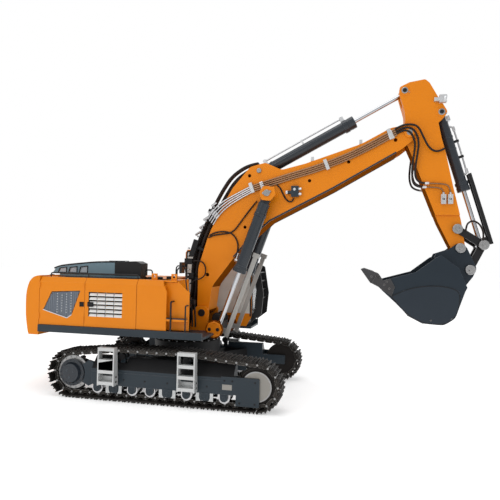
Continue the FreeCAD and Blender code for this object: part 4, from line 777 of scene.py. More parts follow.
def add_hood_trim():
    """The black cover of the hood's front box, and the hood's edge rails, window frames and panes."""
    cover = Shape()
    side = [(-117, 208.8), (-64.6, 208.8), (-64.6, 231.3), (-74.9, 235.5), (-117, 233.5)]
    cover.prism(side, -62.6, -61.9)
    cover.prism(side[1:] + [(-117, 232.8), (-75, 234.8), (-65.2, 230.9), (-65.2, 208.8)], -62, -33)
    piece(cover, "hood_box_cover", "hood", BLACK, 0.3)
    edges = [[(-243, y, 219.2), (-238, y, 221.4), (-226, y, 224.9), (-190, y, 229), (-149, y, 233.2),
              (-117, y, 233.2)] for y in (-61.2, 61.2)]
    tubes("hood_edges", edges, 1.5, "hood", BLACK)
    frames, panes = Shape(), Shape()
    for _, out in SIDES:
        for x in (-236, -214, -192):
            rise = (x + 236) * 0.07
            outer = [(x + 0.9, 210.9), (x + 20.2, 210.9), (x + 20.2, 222.4 + rise), (x + 4.4, 220.2 + rise)]
            inner = [(x + 2.6, 212.4), (x + 18.6, 212.4), (x + 18.6, 220.7 + rise), (x + 5.6, 218.9 + rise)]
            frames.rim(outer, inner, *across(out, 61.4, 63))
            panes.prism([(x + 2.2, 212), (x + 19, 212), (x + 19, 221 + rise), (x + 5.2, 219 + rise)],
                        *across(out, 60.4, 61.2))
    piece(frames, "hood_window_frames", "hood", BLACK, 0.15)
    piece(panes, "hood_windows", "hood", PANE, 0.1)
    vents = Shape()
    for i in range(9):
        x = -214 + i * 9
        z = 226.3 + (x + 214) * 0.11
        vents.box((x, x + 4), (-38, 38), (z, z + 1.3))
    piece(vents, "hood_vents", "hood", BLACK, 0.3)


def add_deck_trim():
    """Anti-slip plates, caps, the handle by the step and the boxes and hoses at the boom foot."""
    grip, caps, box = Shape(), Shape(), Shape()
    for i in range(3):
        grip.box((-205 + i * 52, -157 + i * 52), (-106, -68), (204.4, 205.2))
        for row in range(3):
            for column in range(5):
                grip.lathe([(1.3, 0), (1.0, 0.7), (0.2, 0.8)], (-201 + i * 52 + column * 10,
                                                                -100 + row * 13, 205), (0, 0, 1), 8)
    piece(grip, "anti_slip_plates", "upper", BLACK, 0.15)
    caps.lathe([(6.5, -0.5), (6.5, 3.4), (5.6, 4.6), (1, 4.6)], (-20, -82, 204.5), (0, 0, 1), 24)
    caps.lathe([(4.2, -0.5), (4.2, 2.8), (3.6, 3.6), (1, 3.6)], (-42, -72, 204.5), (0, 0, 1), 20)
    caps.box((-14, -2), (-64, -52), (204.4, 209.5))
    piece(caps, "deck_caps", "upper", DARK, 0.3)
    box.box((10, 24), (-58, -44), (150, 176))
    box.box((24, 30), (-56, -47), (154, 172))
    box.box((26, 36), (-52, -44), (160, 168))
    for z in (156, 163, 170):
        box.bar((9, -51, z), (5, -51, z), 2.2, 14)
    piece(box, "boom_foot_connectors", "upper", DARK, 0.35)
    pins = [[(31, -46, 119), (31, -47, 140), (30, -48, 156)], [(37, -46, 119), (37, -47, 140),
                                                               (35, -48, 158)],
            [(24, -60, 119.5), (24, -60, 150), (20, -56, 170), (12, -52, 196), (10, -50, 204)]]
    tubes("boom_foot_pipes", pins, 1.5, "upper", DARK)
    handle = [[(19, -100, 204), (18, -100, 216), (18.5, -100, 229), (26, -100, 230), (34, -100, 230),
               (36.5, -100, 215), (38, -104, 200), (42, -107, 187)]]
    tubes("mirror_frame", handle, 1.1, "upper", BLACK)
    glass = Shape()
    glass.box((26.4, 27.2), (-106.8, -93.2), (218.3, 234.8))
    piece(glass, "mirror_glass", "upper", CHROME, 0.1)
    step = Shape()
    step.box((7, 45), (-119.2, -108.6), (139.6, 140.7))
    for i in range(7):
        step.box((10 + i * 5, 12.4 + i * 5), (-118.4, -109.4), (140.6, 141.3))
    piece(step, "step_tread", "upper", GREY, 0.15)
    motor = Shape()
    motor.bar((70, -24, 133), (70, 24, 133), 9, 28, 1)
    for _, out in SIDES:
        motor.lathe([(11, 0), (11, 2.5), (10, 3.2), (6, 3.2)], (70, out * 14, 133), (0, out, 0), 28)
    motor.box((60, 80), (-20, 20), (111.2, 128))
    piece(motor, "swing_manifold", "upper", DARK, 0.3)
    lugs = Shape()
    for _, out in SIDES:
        lugs.lathe([(14.6, 0), (14.6, 1.2), (13.8, 1.8), (11.5, 1.8), (11, 1.2), (1, 1.2)],
                   (73.5, out * 50.9, 117), (0, out, 0), 8)
    piece(lugs, "cylinder_lug_covers", "upper", ORANGE, 0.3)
    heads = Shape()
    for _, out in SIDES:
        for x in (65.3, 80.5):
            heads.bolt((x, out * 52.2, 117), (0, out, 0), 2.6, 1.6)
        heads.lathe([(6.6, 0), (6.6, 1.6), (5.4, 2.2), (5.2, 1.2), (0.5, 1.2)],
                    (BOOM_FOOT[0], out * 33, BOOM_FOOT[1]), (0, out, 0), 28)
    piece(heads, "foot_pin_caps", "upper", DARK, 0.15)


# ---------------------------------------------------------------- cab
def add_cab():
    """Panes up to the cab's edges, dark pillars, door glass, wiper, roof panel and controls."""
    rear, front = -22, 118
    skin = [(rear + 3, 137), (front - 1.2, 137), (front - 1.2, 204.6), (front - 14.8, 257.5),
            (rear + 6, 257.5), (rear + 3, 254)]
    # The cab's side glass is an opaque pane with the painted reflection finish, not clear glass.
    pane = Shape()
    pane.prism(skin, 54.2, 54.9)
    piece(pane, "cab_side_glass", "upper", CAB_PANE_PAINTED_REFLECTION, 0.15)
    posts = Shape()
    posts.prism([(front - 3.4, 131), (front - 0.8, 131), (front - 0.8, 205), (front - 14.6, 259),
                 (front - 17.4, 259), (front - 3.6, 204.6)], 53.8, 55.2)
    posts.prism([(rear + 1, 138), (rear + 5, 138), (rear + 5, 258), (rear + 2, 254)], 53.8, 55.2)
    posts.prism([(40, 138), (42.6, 138), (42.6, 258), (40, 258)], 53.8, 54.6)
    posts.prism([(rear + 2, 255.4), (front - 15, 255.4), (front - 16, 258.6), (rear + 4, 258.6)], 53.8,
                54.9)
    for y in (55.4, 115.6):
        posts.prism([(front - 0.4, 132), (front + 0.8, 132), (front + 0.8, 205.2), (front - 12.6, 257),
                     (front - 14, 257), (front - 0.6, 204.8)], y, y + 2.6)
    piece(posts, "cab_pillars", "upper", BLACK, 0.25)
    door = Shape()
    door.prism([(rear + 36.3, 154.3), (front - 15.3, 154.3), (front - 15.3, 203.8), (front - 27.2, 243.7),
                (rear + 36.3, 243.7)], 115.9, 116.9)
    piece(door, "cab_door_glass", "cab_door_leaf", GLASS, 0.1)
    trim = Shape()
    outer = [(rear + 34.6, 152.4), (front - 13.6, 152.4), (front - 13.6, 204.4), (front - 26, 245.6),
             (rear + 34.6, 245.6)]
    inner = [(rear + 37.4, 155.4), (front - 16.4, 155.4), (front - 16.4, 203.4), (front - 28, 242.6),
             (rear + 37.4, 242.6)]
    trim.rim(outer, inner, 117.4, 118.3)
    trim.box((rear + 80, rear + 94), (118, 120.2), (138.6, 145.4))
    piece(trim, "cab_door_trim", "cab_door_leaf", DARK, 0.25)
    wiper = [[(front + 2.2, 70, 136), (front + 2.4, 82, 160), (front + 2.4, 90, 184)],
             [(front + 2.6, 84, 168), (front + 2.6, 90, 184), (front + 2.6, 96, 200)]]
    tubes("wiper", wiper, 0.8, "upper", DARK)
    roof = Shape()
    roof.prism([(rear + 12, 260.6), (front - 24, 260.6), (front - 27, 263), (rear + 15, 263)], 62, 111)
    roof.prism([(rear + 40, 262.6), (front - 46, 262.6), (front - 48, 264.2), (rear + 42, 264.2)], 70, 103)
    piece(roof, "roof_hatch", "upper", ORANGE, 0.6)
    lamps = Shape()
    for y in (66, 107):
        lamps.box((front - 20, front - 12), (y - 5, y + 5), (258, 265))
    piece(lamps, "roof_lamps", "upper", DARK, 0.6)
    lenses = Shape()
    for y in (66, 107):
        lenses.box((front - 12.2, front - 11.2), (y - 4, y + 4), (259, 264))
    piece(lenses, "roof_lamp_lenses", "upper", CHROME, 0.3)
    desk = Shape()
    for y in (66, 107):
        desk.box((28, 50), (y - 4, y + 4), (150, 160))
        desk.bar((46, y, 158), (50, y, 178), 1.1, 12)
        desk.lathe([(1.6, 0), (2.6, 3), (2.4, 7), (0.4, 8)], (50, y, 176), (0.2, 0, 1), 14)
    desk.prism([(96, 116), (104, 116), (106, 160), (100, 176), (97, 176)], 98, 110)
    piece(desk, "cab_controls", "upper", DARK, 0.5)
    cushion = Shape()
    cushion.prism([(9, 151), (47, 151), (49, 155), (44, 159), (20, 157), (12, 158)], 70.5, 103)
    cushion.prism([(12, 157), (20, 158), (17, 206), (13, 210), (9, 206)], 71.5, 102)
    piece(cushion, "seat_cushions", "upper", SEAT_CLOTH, 2.2)


# ---------------------------------------------------------------- boom
PIPE_LINE = ((74, 300), (90, 333), (136, 367), (190, 384), (262, 404), (330, 431), (384, 461))


def pipe_run(lift, y, first, last):
    """Points of one boom pipe between two corners of the lowest pipe's line."""
    return [(x - 0.35 * lift, y, z + 0.93 * lift) for x, z in PIPE_LINE[first:last]]


def add_boom_pipes():
    """Four steel pipes on each side of the boom, silver at the knee and warm-toned beyond it."""
    lifts = (0, 3.5, 7, 10.5)
    upper = [pipe_run(lift, out * 28.6, 2, 7) for _, out in SIDES for lift in lifts]
    lower = []
    for _, out in SIDES:
        for lift in lifts:
            elbow = (136 - 0.35 * lift, out * 28.6, 367 + 0.93 * lift)
            lower.append([elbow, (112 - 0.6 * lift, out * 28.6, 355 + 0.8 * lift),
                          (86 - 0.8 * lift, out * 28.6, 338 + lift), (70 - lift, out * 28.2, 322 + lift),
                          (60 - lift, out * 27, 306 + lift)])
    tubes("boom_pipes_far", upper, 1.45, "boom_arm", WARM_STEEL, replaced=("boom_pipes",))
    tubes("boom_pipes_near", lower, 1.35, "boom_arm", BRIGHT_STEEL)
    nuts, clamps = Shape(), Shape()
    for _, out in SIDES:
        for lift in lifts:
            for start, end in (((72 - lift, 324 + lift), (66 - lift, 317 + lift)),
                               ((150 - 0.35 * lift, 371.4 + 0.93 * lift),
                                (156 - 0.35 * lift, 373.3 + 0.93 * lift)),
                               ((372 - 0.35 * lift, 454.4 + 0.93 * lift),
                                (379 - 0.35 * lift, 458.3 + 0.93 * lift))):
                nuts.bar((start[0], out * 28.6, start[1]), (end[0], out * 28.6, end[1]), 2.3, 6, 0.3)
        for (x, z), tilt in (((134, 368), 0.34), ((268, 407.5), 0.38), ((376, 458), 0.5)):
            clamps.prism(tilted((x, z), tilt, (-3, 3), (-4, 15)), *across(out, 26, 31.4))
            clamps.bolt((x - 5.4 * sin(tilt), out * 31.3, z + 5.4 * cos(tilt)), (0, out, 0), 1.5, 1)
        for x, z in ((112, 377), (148, 392), (240, 427), (324, 455)):
            clamps.box((x - 2.6, x + 2.6), across(out, 17, 22), (z - 6, z + 1.5))
    piece(nuts, "boom_pipe_nuts", "boom_arm", BRIGHT_STEEL, 0.15)
    piece(clamps, "boom_clamps", "boom_arm", ALUMINIUM, 0.3)


def add_boom_hoses():
    """Hoses up the boom's rear edge, over its shoulder and on its sides, with their fittings."""
    rear = []
    for y in (-18, -9, 0, 9, 18):
        rear.append([(8, y, 112), (9, y, 126), (14, y, 142), (22, y, 160), (27, y, 180), (27, y, 228),
                     (38, y, 272), (52, y, 306), (66, y, 336)])
    for y in (-13.5, -4.5, 4.5, 13.5):
        rear.append([(-2, y, 112), (-2, y, 128), (4, y, 148), (14, y, 166), (18, y, 186), (17, y, 232),
                     (28, y, 276), (42, y, 310), (58, y, 342)])
    blended("boom_rear_hoses", rear, 2.4, HOSE,
            ("boom_hoses",))
    over = [[(54, y, 330), (64, y, 350), (76, y, 372), (91, y, 394.5), (111, y, 409.5), (128, y, 417),
             (142, y, 419)] for y in (-21.5, -17, -12.5, 12.5, 17, 21.5)]
    tubes("boom_shoulder_hoses", over, 2.3, "boom_arm", HOSE)
    straps, blocks, fittings = Shape(), Shape(), Shape()
    for middle, tilt in (((23, 206), 90), ((33.5, 262), 70), ((58, 330), 62)):
        straps.prism(tilted(middle, radians(tilt), (-2.5, 2.5), (-9, 9)), -24.5, 24.5)
    piece(straps, "hose_straps", "boom_arm", DARK, 0.5)
    blocks.box((7, 22), (-30, -18), (232, 243))
    blocks.box((5, 9), (-28, -20), (226, 236))
    blocks.prism([(14, 246), (24, 246), (34, 276), (24, 279)], -29, -22)
    blocks.box((13, 25), (-29, -20), (206, 216))
    piece(blocks, "hose_junctions", "boom_arm", DARK, 0.5)
    for _, out in SIDES:
        for i, (x, z) in enumerate(((30, 284), (37, 297), (45, 312), (53, 326), (60, 338))):
            fittings.bar((x - 5, out * (22 - 2 * (i % 2)), z + 3), (x + 5, out * (24 - 2 * (i % 2)), z + 9),
                         2.1, 6, 0.3)
            fittings.bar((x, out * 23, z), (x + 1, out * 27.5, z + 1), 1.7, 12, 0.3)
    for z in (212, 222, 250, 262):
        fittings.bar((15, -31, z), (15, -27, z), 1.8, 6, 0.3)
    piece(fittings, "hose_fittings", "boom_arm", BRIGHT_STEEL, 0.15)
    sides = []
    for _, out in SIDES:
        y = out * 28
        sides.append([(52, y, 282), (60, y, 286), (76, y, 288.5), (98, y, 291), (113, y, 311),
                      (128, y, 332), (142, y, 349)])
        sides.append([(54, y, 286), (62, y, 291), (80, y, 294), (96, y, 291), (106, y, 280), (110, y, 264),
                      (105, y, 246)])
        sides.append([(154, y, 374), (162, y, 379), (174, y, 381), (184, y, 374), (190, y, 360),
                      (198, y, 348), (207, y, 347), (209, out * 30, 354)])
    tubes("boom_side_hoses", sides, 1.35, "boom_arm", HOSE)
    whip = [[(20, -34, 196), (30, -33, 204), (42, -31, 206), (50, -31, 216), (48, -31, 232), (38, -31, 240),
             (24, -30, 238)]]
    tubes("boom_loop_hose", whip, 1.2, "boom_arm", HOSE)


def add_boom_ends():
    """Lugs, caps and rings at the boom's pivots, and the filter's fittings."""
    lug, steel, thin_strips = Shape(), Shape(), Shape()
    hx, hz = CYLINDER_HEAD
    outline = [(hx - 9, hz - 12), (hx + 7, hz - 13.5), (hx + 16, hz - 2), (hx + 13, hz + 11),
               (hx - 7, hz + 12), (hx - 13, hz + 2)]
    for _, out in SIDES:
        lug.prism(outline, *across(out, 49.8, 52.6))
        steel.lathe([(6, 0), (6, 1.6), (5.2, 2.4), (1, 2.4)], (hx, out * 52.4, hz), (0, out, 0), 24)
        steel.prism([(hx - 8, hz - 2), (hx + 8, hz + 1), (hx + 8, hz + 4), (hx - 8, hz + 1)],
                    *across(out, 52.4, 54))
        for offset in (-6, 6):
            steel.bolt((hx + offset, out * 54, hz + 1 + offset / 5), (0, out, 0), 1.6, 1.2)
        lug.lathe([(9, 0), (9, 2), (8, 2.8), (1, 2.8)], (STICK_PIVOT[0], out * 26, STICK_PIVOT[1]),
                  (0, out, 0), 32)
        steel.lathe([(4.5, 0), (4.5, 1.8), (3.8, 2.4), (0.4, 2.4)],
                    (STICK_BASE[0], out * 26, STICK_BASE[1]), (0, out, 0), 24)
        # A thin dark grey strip along each of the boom's lower edges.
        thin_strips.prism([(100, 246), (126.6, 276.6), (166.1, 312.6), (276.7, 369.8), (384, 431), (383, 433),
                    (276, 372.6), (165, 315.2), (125, 279), (99, 248.4)], *across(out, 25.4, 26.5))
    piece(lug, "cylinder_head_lugs", "boom_arm", ORANGE, 0.6)
    piece(steel, "boom_pin_caps", "boom_arm", PIN_STEEL, 0.2)
    piece(thin_strips, "boom_lower_edge_strips", "boom_arm", GREY, 0.15)
    block = Shape()
    for z in (361, 370):
        block.bar((217, -31, z), (223, -31, z), 2.4, 6, 0.3)
    block.bar((199, -30.5, 364), (195, -30.5, 364), 3.4, 6, 0.3)
    block.bolt((211, -35, 369), (0, -1, 0), 2, 1.2)
    piece(block, "filter_fittings", "boom_arm", ALUMINIUM, 0.15)


# ---------------------------------------------------------------- cylinders
def add_cylinders():
    """Glands, ports, side pipes and guard details of the three sets of cylinders."""
    collars, ports, bolts = Shape(), Shape(), Shape()
    axis = direction(BOOM_LINE)
    upward = Vector((-axis[2], 0, axis[0])).normalized()
    for _, out in SIDES:
        y = out * 40
        collars.lathe([(8, 0), (12.4, 0.6), (12.4, 9), (11.6, 10), (10.2, 10)], spot(BOOM_LINE, 110, 0, y),
                      axis, 32)
        collars.lathe([(10.2, 0), (11.3, 0.6), (11.3, 6), (10.6, 6.6), (10.2, 6.6)],
                      spot(BOOM_LINE, 216, 0, y), axis, 32)
        ports.bar(spot(BOOM_LINE, 128, 8, y), spot(BOOM_LINE, 128, 15, y), 3, 6, 0.4)
        ports.bar(spot(BOOM_LINE, 128, 13, y), spot(BOOM_LINE, 142, 13, y), 1.6, 14, 0.3)
        for i in range(6):
            angle = 2 * pi * i / 6
            px, pz = beside(BOOM_LINE, 114, 12.3 * sin(angle))
            toward = Vector((0, cos(angle), 0)) + upward * sin(angle)
            bolts.bolt((px, y + 12.3 * cos(angle), pz), toward, 1.3, 0.9)
    piece(collars, "boom_cylinder_collars", "boom_barrels", CYLINDER, 0.3)
    piece(ports, "boom_cylinder_ports", "boom_barrels", BRIGHT_STEEL, 0.15)
    piece(bolts, "boom_cylinder_bolts", "boom_barrels", CYLINDER, 0.1)
    straps = Shape()
    for _, out in SIDES:
        for along in (30, 88, 140):
            straps.prism(patch(BOOM_LINE, (along - 1.5, along + 1.5), (-22.4, -13.6)),
                         *across(out, 35, 35.8))
        straps.prism(patch(BOOM_LINE, (145, 153), (-24, -12)), *across(out, 33, 38.2))
    piece(straps, "guard_brackets", "boom_rods", GUARD_STEEL, 0.4)
    add_stick_cylinder_trim()
    add_bucket_cylinder_trim()


def add_stick_cylinder_trim():
    """A steel pipe along the barrel's top, its blocks, and the gland."""
    line = STICK_LINE
    pipe = [spot(line, 14, 10), spot(line, 14, 16.6), spot(line, 24, 16.8), spot(line, 90, 16.8),
            spot(line, 160, 16.8), spot(line, 172, 16.6), spot(line, 174, 9)]
    tubes("stick_cylinder_pipe", [pipe], 1.5, "stick_barrel", BRIGHT_STEEL)
    blocks, collars = Shape(), Shape()
    for along in (15, 172):
        blocks.prism(patch(line, (along - 3.4, along + 3.4), (8.6, 19)), -3.6, 3.6)
        blocks.bolt(spot(line, along, 18.8), (-0.472, 0, 0.8816), 2.2, 1.6)
    blocks.prism(patch(line, (90.4, 93.6), (9.6, 18.6)), -2.4, 2.4)
    piece(blocks, "stick_cylinder_blocks", "stick_barrel", ALUMINIUM, 0.3)
    for along, radius, length in ((168, 11.8, 9), (180, 11.2, 9.6), (22, 10.8, 5)):
        collars.lathe([(10, 0), (radius, 0.6), (radius, length - 0.6), (radius - 0.8, length), (5, length)],
                      spot(line, along), direction(line), 36)
    piece(collars, "stick_cylinder_collars", "stick_barrel", CYLINDER, 0.25)


def add_bucket_cylinder_trim():
    """The barrel's side pipe with fittings, its gland and a port block."""
    line = BUCKET_LINE
    pipe = [spot(line, 24, 8), spot(line, 26, 14), spot(line, 36, 14.4), spot(line, 70, 14.4),
            spot(line, 100, 14), spot(line, 110, 13), spot(line, 112, 8)]
    tubes("bucket_cylinder_pipe", [pipe], 1.6, "bucket_barrel", BRIGHT_STEEL)
    fittings, collars, dark = Shape(), Shape(), Shape()
    for along in (30, 106):
        fittings.bar(spot(line, along - 4, 14.2), spot(line, along + 4, 14.2), 2.6, 6, 0.3)
    fittings.prism(patch(line, (6, 15), (5, 12.4)), -7.4, 7.4)
    for out in (-1, 1):
        fittings.bolt(spot(line, 10, 9, out * 7.4), (0, out, 0), 2.0, 1.4)
    for along in (52, 80):
        dark.prism(patch(line, (along - 2, along + 2), (8.6, 16.4)), -2.6, 2.6)
    for along, radius, length in ((122, 10.9, 6), (130, 10.6, 8.6), (40, 9.7, 4), (62, 9.5, 3)):
        collars.lathe([(9, 0), (radius, 0.5), (radius, length - 0.5), (radius - 0.7, length), (5, length)],
                      spot(line, along), direction(line), 36)
    piece(fittings, "bucket_cylinder_fittings", "bucket_barrel", BRIGHT_STEEL, 0.2)
    piece(dark, "bucket_cylinder_clips", "bucket_barrel", DARK, 0.3)
    piece(collars, "bucket_cylinder_collars", "bucket_barrel", CYLINDER, 0.25)


# ---------------------------------------------------------------- stick and bucket
def add_stick():
    """Hose loops from the boom, pipes into the ports, pivot rings and bolted caps."""
    hoses, pipes = [], []
    for _, out in SIDES:
        y, wide = out * 27.8, out * 29.2
        hoses.append([(376, y, 468), (388, y, 476), (402, wide, 479), (418, wide, 476), (427, wide, 456),
                      (437, y, 436), (452, out * 25, 430), (462, out * 22.4, 437)])
        hoses.append([(376, y, 463), (388, y, 470.5), (400, wide, 474), (413, wide, 469), (421, wide, 448),
                      (416, y, 414), (414, out * 25, 392), (421, out * 23.4, 379),
                      (435, out * 22.6, 378.5)])
        hoses.append([(376, y, 459), (388, y, 466), (398, wide, 469), (408, wide, 464), (415, wide, 445),
                      (410.5, y, 414), (409.5, out * 25, 390), (416, out * 23.4, 374),
                      (431, out * 22.6, 372)])
        pipes.append([(434, out * 22.6, 378.5), (446, out * 22.6, 378), (462, out * 22.6, 377),
                      (471, out * 22.8, 373), (472.4, out * 23.4, 358)])
        pipes.append([(430, out * 22.6, 372), (442, out * 22.6, 371.6), (452, out * 22.6, 371),
                      (460.4, out * 22.8, 368), (461.4, out * 23.4, 358)])
    blended("stick_loop_hoses", hoses, 1.75, HOSE,
            ("stick_hoses",))
    tubes("stick_port_pipes", pipes, 1.25, "stick_arm", WARM_STEEL)
    silver, dark, orange, ports = Shape(), Shape(), Shape(), Shape()
    for _, out in SIDES:
        for pin in (STICK_ROD, BUCKET_BASE):
            place = (pin[0], out * 20, pin[1])
            orange.lathe([(8.6, -0.5), (8.6, 0.5), (7.8, 1.0), (5, 1.0)], place, (0, out, 0), 32)
            silver.lathe([(5.6, 0.4), (5.6, 2.0), (4.8, 2.5), (3.4, 2.5)], place, (0, out, 0), 28)
            dark.lathe([(3.5, 1.8), (3.5, 2.7), (3.1, 3), (0.4, 2.8)], place, (0, out, 0), 20)
            silver.bolt((pin[0] + 7, out * 20.6, pin[1] - 3), (0, out, 0), 1.1, 0.9)
        for pin in (IDLER_PIN, BUCKET_PIN):
            silver.ring_nut(pin, out * 22.3, out, 8.2, 2.6, 6, 5.6, 1.25)
            silver.lathe([(3.2, 0), (3.2, 1.6), (2.4, 2.2), (0.4, 2.2)], (pin[0], out * 24.8, pin[1]),
                         (0, out, 0), 6)
        for x in (457, 468):
            for z in (347, 354.6):
                ports.lathe([(2.5, -0.3), (2.5, 1.2), (2.0, 1.6), (1.6, 0.6), (0.2, 0.6)],
                            (x + 4, out * 27, z), (0, out, 0), 14)
            ports.bar((x + 4, out * 23.4, 358.6), (x + 4, out * 23.4, 362.6), 2.2, 6, 0.3)
        for start, end in (((431, 378.5), (438, 378.5)), ((427, 372), (434, 372))):
            ports.bar((start[0], out * 22.6, start[1]), (end[0], out * 22.6, end[1]), 2.3, 6, 0.3)
    piece(orange, "stick_bosses", "stick_arm", ORANGE, 0.3)
    piece(silver, "stick_pin_caps", "stick_arm", PIN_STEEL, 0.2)
    piece(dark, "stick_pin_centres", "stick_arm", DARK, 0.1)
    piece(ports, "stick_ports", "stick_arm", ALUMINIUM, 0.15)
    lamp = Shape()
    lamp.lathe([(5.2, 0), (6.4, 2.4), (6.4, 4.6), (5.6, 5), (0.4, 4.4)], (459, -25, 520.5), (0.9, 0, -0.2),
               24)
    piece(lamp, "work_lamp_lens", "stick_arm", ALUMINIUM, 0.2)


def add_links():
    """Bolted caps on the bucket links and the little hose loop beside them."""
    for name, body, pin in (("link_caps", "idler_arms", LINK_TOP),
                            ("bucket_pin_caps", "digging_bucket", LINK_LOW)):
        caps = Shape()
        for _, out in SIDES:
            caps.ring_nut(pin, out * 22.6, out, 8.2, 2.8, 6, 5.6, 1.25)
            caps.lathe([(3.2, 0), (3.2, 1.4), (2.4, 2), (0.4, 2)], (pin[0], out * 25.2, pin[1]),
                       (0, out, 0), 6)
        piece(caps, name, body, PIN_STEEL, 0.2)
    loop = [[(497, -20.8, 298), (497, -24.4, 304), (499, -26, 311), (507, -26.5, 315.5), (517, -26.5, 310),
             (522.6, -26.4, 299), (523.6, -25.6, 288), (523, -24, 282)]]
    tubes("link_grease_hose", loop, 1.5, "idler_arms", HOSE)


def add_bucket():
    """Wear plates, side cutters, tooth caps and weld beads on the bucket."""
    edge_highlight_and_wear, cutters, bolts = Shape(), Shape(), Shape()
    line = [(378, 187), (397, 197.6), (418, 203.4), (439, 206.4), (461, 206), (484, 199.4)]
    foot = [(483, 175), (477, 156), (460, 143.8), (428, 145.2), (405.5, 156.6), (388, 174)]
    for _, out in SIDES:
        edge_highlight_and_wear.prism(line + foot, *across(out, 51.9, 52.9))
        cutters.prism([(346, 210), (352, 219.6), (364, 212.6), (376, 216), (383, 203), (378, 187),
                       (362, 198.2)], *across(out, 51.9, 53.6))
        for x, z in ((366, 206), (374, 200), (370, 211)):
            bolts.bolt((x, out * 53.5, z), (0, out, 0), 1.5, 1)
        for x, z in ((472, 150.6), (440, 147.5)):
            bolts.bolt((x, out * 52.8, z + 3), (0, out, 0), 1.3, 0.9)
    welds = [[(x, out * 52.8, z) for x, z in line + foot + line[:1]] for _, out in SIDES]
    tubes("bucket_welds", welds, 0.55, "digging_bucket", DARK)
    piece(edge_highlight_and_wear, "bucket_wear_plates", "digging_bucket", BUCKET_WEAR, 0.35)
    piece(cutters, "bucket_side_cutters", "digging_bucket", BUCKET_EDGE, 0.5)
    piece(bolts, "bucket_bolts", "digging_bucket", BUCKET_EDGE, 0.1)
    caps = Shape()
    for i in range(5):
        low = -51.5 + i * (104 - 11) / 4
        caps.prism([(327.6, 230.6), (333, 232.6), (350, 227.2), (353, 218), (346.6, 207.6), (343.6, 208.2)],
                   low - 0.4, low + 10.4)
        caps.bar((345.5, low - 0.8, 219), (345.5, low + 10.8, 219), 1.6, 12, 0.3)
    piece(caps, "tooth_caps", "digging_bucket", BUCKET_EDGE, 0.5)
    thin_strips = Shape()
    for y in (-36, -12, 12, 36):
        thin_strips.prism([(404, 155.2), (428, 143.2), (460, 141.9), (478.6, 154.6), (485.4, 174), (483.4, 174.2),
                    (476.6, 156.6), (459.6, 143.6), (428, 145), (405, 157.2)], y - 2.5, y + 2.5)
    piece(thin_strips, "bucket_wear_strips", "digging_bucket", BUCKET_EDGE, 0.3)


# ---------------------------------------------------------------- the CAD nodes' own finishes
def is_slat(x, y, z, n):
    """Faces of the louvre door's slats."""
    return -135.1 < x < -70.6 and 137 < z < 182 and -119.9 < y < -117.1 and abs(n.x) < 0.5 and abs(n.z) < 0.98


def in_cab(x, y, z, n):
    """Faces inside the cab."""
    return 59 < y < 115 and -18 < x < 114 and 112 < z < 258


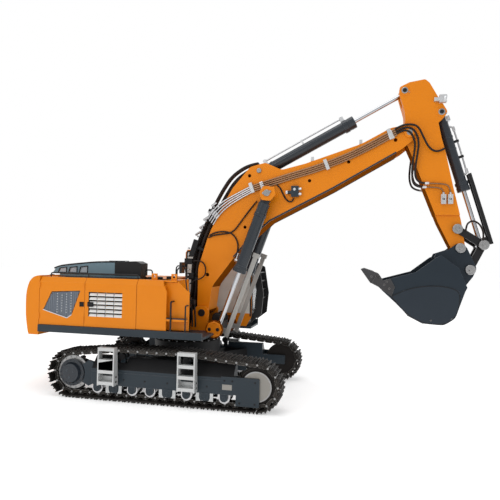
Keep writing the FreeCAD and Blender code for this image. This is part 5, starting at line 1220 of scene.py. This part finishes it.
def dress_nodes():
    """Give every visible CAD node rounded edges and its finishes."""
    plain = (
        (ORANGE, 0.5, ("counterweight", "right_front_panel", "left_panels", "top_deck")),
        (BLACK, 0.4, ("handrails", "mirror", "cab_guard", "bucket_rod_guard", "idler_links", "h_link")),
        (DARK, 0.3, ("operator_seat", "battery", "radio_controller", "hydraulic_pump")),
        (WORN_STEEL, 0.15, ("slew_gear", "swing_pinion")),
        (BRIGHT_STEEL, 0.3, ("slew_bolts", "stick_pins")),
        (CHROME, 0.2, ("boom_cylinder_rods", "stick_cylinder_rod", "bucket_cylinder_rod")),
        (CYLINDER, 0.4, ("boom_cylinder_barrels", "stick_cylinder_barrel", "bucket_cylinder_barrel")),
        (BUCKET, 0.5, ("bucket",)),
        (BUCKET_EDGE, 0.4, ("bucket_teeth",)),
        (SILVER_PAINT, 0.3, ("access_ladders", "valve_block", "oil_tank", "swing_motor")),
        (ALUMINIUM, 0.3, ("stick_fittings", "work_light")),
        (GUARD_STEEL, 0.3, ("boom_rod_guards",)),
        (GREY, 0.4, ("travel_motors",)),
        # The cross frame's dark finish is partly its own dark paint and partly painted shade under the upper track
        # runs.
        (DARK, 0.4, ("cross_frame",)),
        (GLASS, 0, ("cab_glass",)),
    )
    for finish, bevel, nodes in plain:
        for node in nodes:
            dress(node, finish, bevel)
    for side in ("right", "left"):
        # Painted shade: the track frames' upward-facing top slopes take the dark finish.
        dress(f"{side}_track_frame", GREY, 0.4, [(DARK, lambda x, y, z, n: n.z > 0.2 and 53 < z < 72)])
        dress(f"{side}_sprocket", WORN_STEEL, 0.3, [(CYLINDER, lambda x, y, z, n: abs(y) > 125)])
        dress(f"{side}_idler", BEIGE, 0.3, [(WORN_STEEL, lambda x, y, z, n: abs(y) < 127.4)])
    dress("upper_frame", GREY, 0.3, [
        (DARK, lambda x, y, z, n: z < 107.5 and abs(y) < 117),
        (ORANGE, lambda x, y, z, n: z > 111.5 and 26.5 < abs(y) < 33.5),
        # painted shade: darker orange round the cylinder lug bosses
        (ORANGE_PAINTED_SHADE, lambda x, y, z, n: 46.5 < abs(y) < 51.5 and hypot(x - 73.5, z - 117) < 16.8)])
    dress("rear_door", ORANGE, 0.5,
          [(SCREEN, lambda x, y, z, n: -119.4 < y < -117.8 and -226 < x < -148 and n.y < -0.5),
           (DARK, lambda x, y, z, n: y < -120.1)])
    # The louvre slats take the pale finish, which is partly painted highlight.
    dress("louvre_door", ORANGE, 0.5, [(PALE_SLAT_AND_HIGHLIGHT, is_slat), (DARK, lambda x, y, z, n: y < -120.1)])
    dress("cab_shell", ORANGE, 0.5, [(BLACK, lambda x, y, z, n: n.x > 0.3 and z > 131), (DARK, in_cab)])
    dress("cab_door", ORANGE, 0.4, [(DARK, lambda x, y, z, n: y > 118.3)])
    # Painted shade: the boom's downward faces and the stick's rear faces take the darker orange copy.
    dress("boom", ORANGE, 0.35, [(ORANGE_PAINTED_SHADE, lambda x, y, z, n: n.z < -0.3)])
    dress("stick", ORANGE, 0.35, [(ORANGE_PAINTED_SHADE, lambda x, y, z, n: n.x < -0.3 and z < 470)])
    dress("engine_hood", HOOD_GREY, 0.5, [(BLACK, lambda x, y, z, n: x > -117.2)])
    dress("track_rollers", BRIGHT_STEEL, 0.3, [(DARK, lambda x, y, z, n: z > 60)])
    dress("boom_pins", PIN_STEEL, 0.4, [(DARK, within(BOOM_FOOT, 8))])
    dress("boom_fittings", ALUMINIUM, 0.3, [(GREY, lambda x, y, z, n: 196 < x < 226)])


def build():
    """Everything in turn."""
    add_camera()
    add_studio()
    dress_nodes()
    for step in (add_tracks, add_wheels, add_undercarriage, add_screen, add_door_trim, add_hood_trim,
                 add_deck_trim, add_cab, add_boom_pipes, add_boom_hoses, add_boom_ends, add_cylinders,
                 add_stick, add_links, add_bucket):
        step()


build()
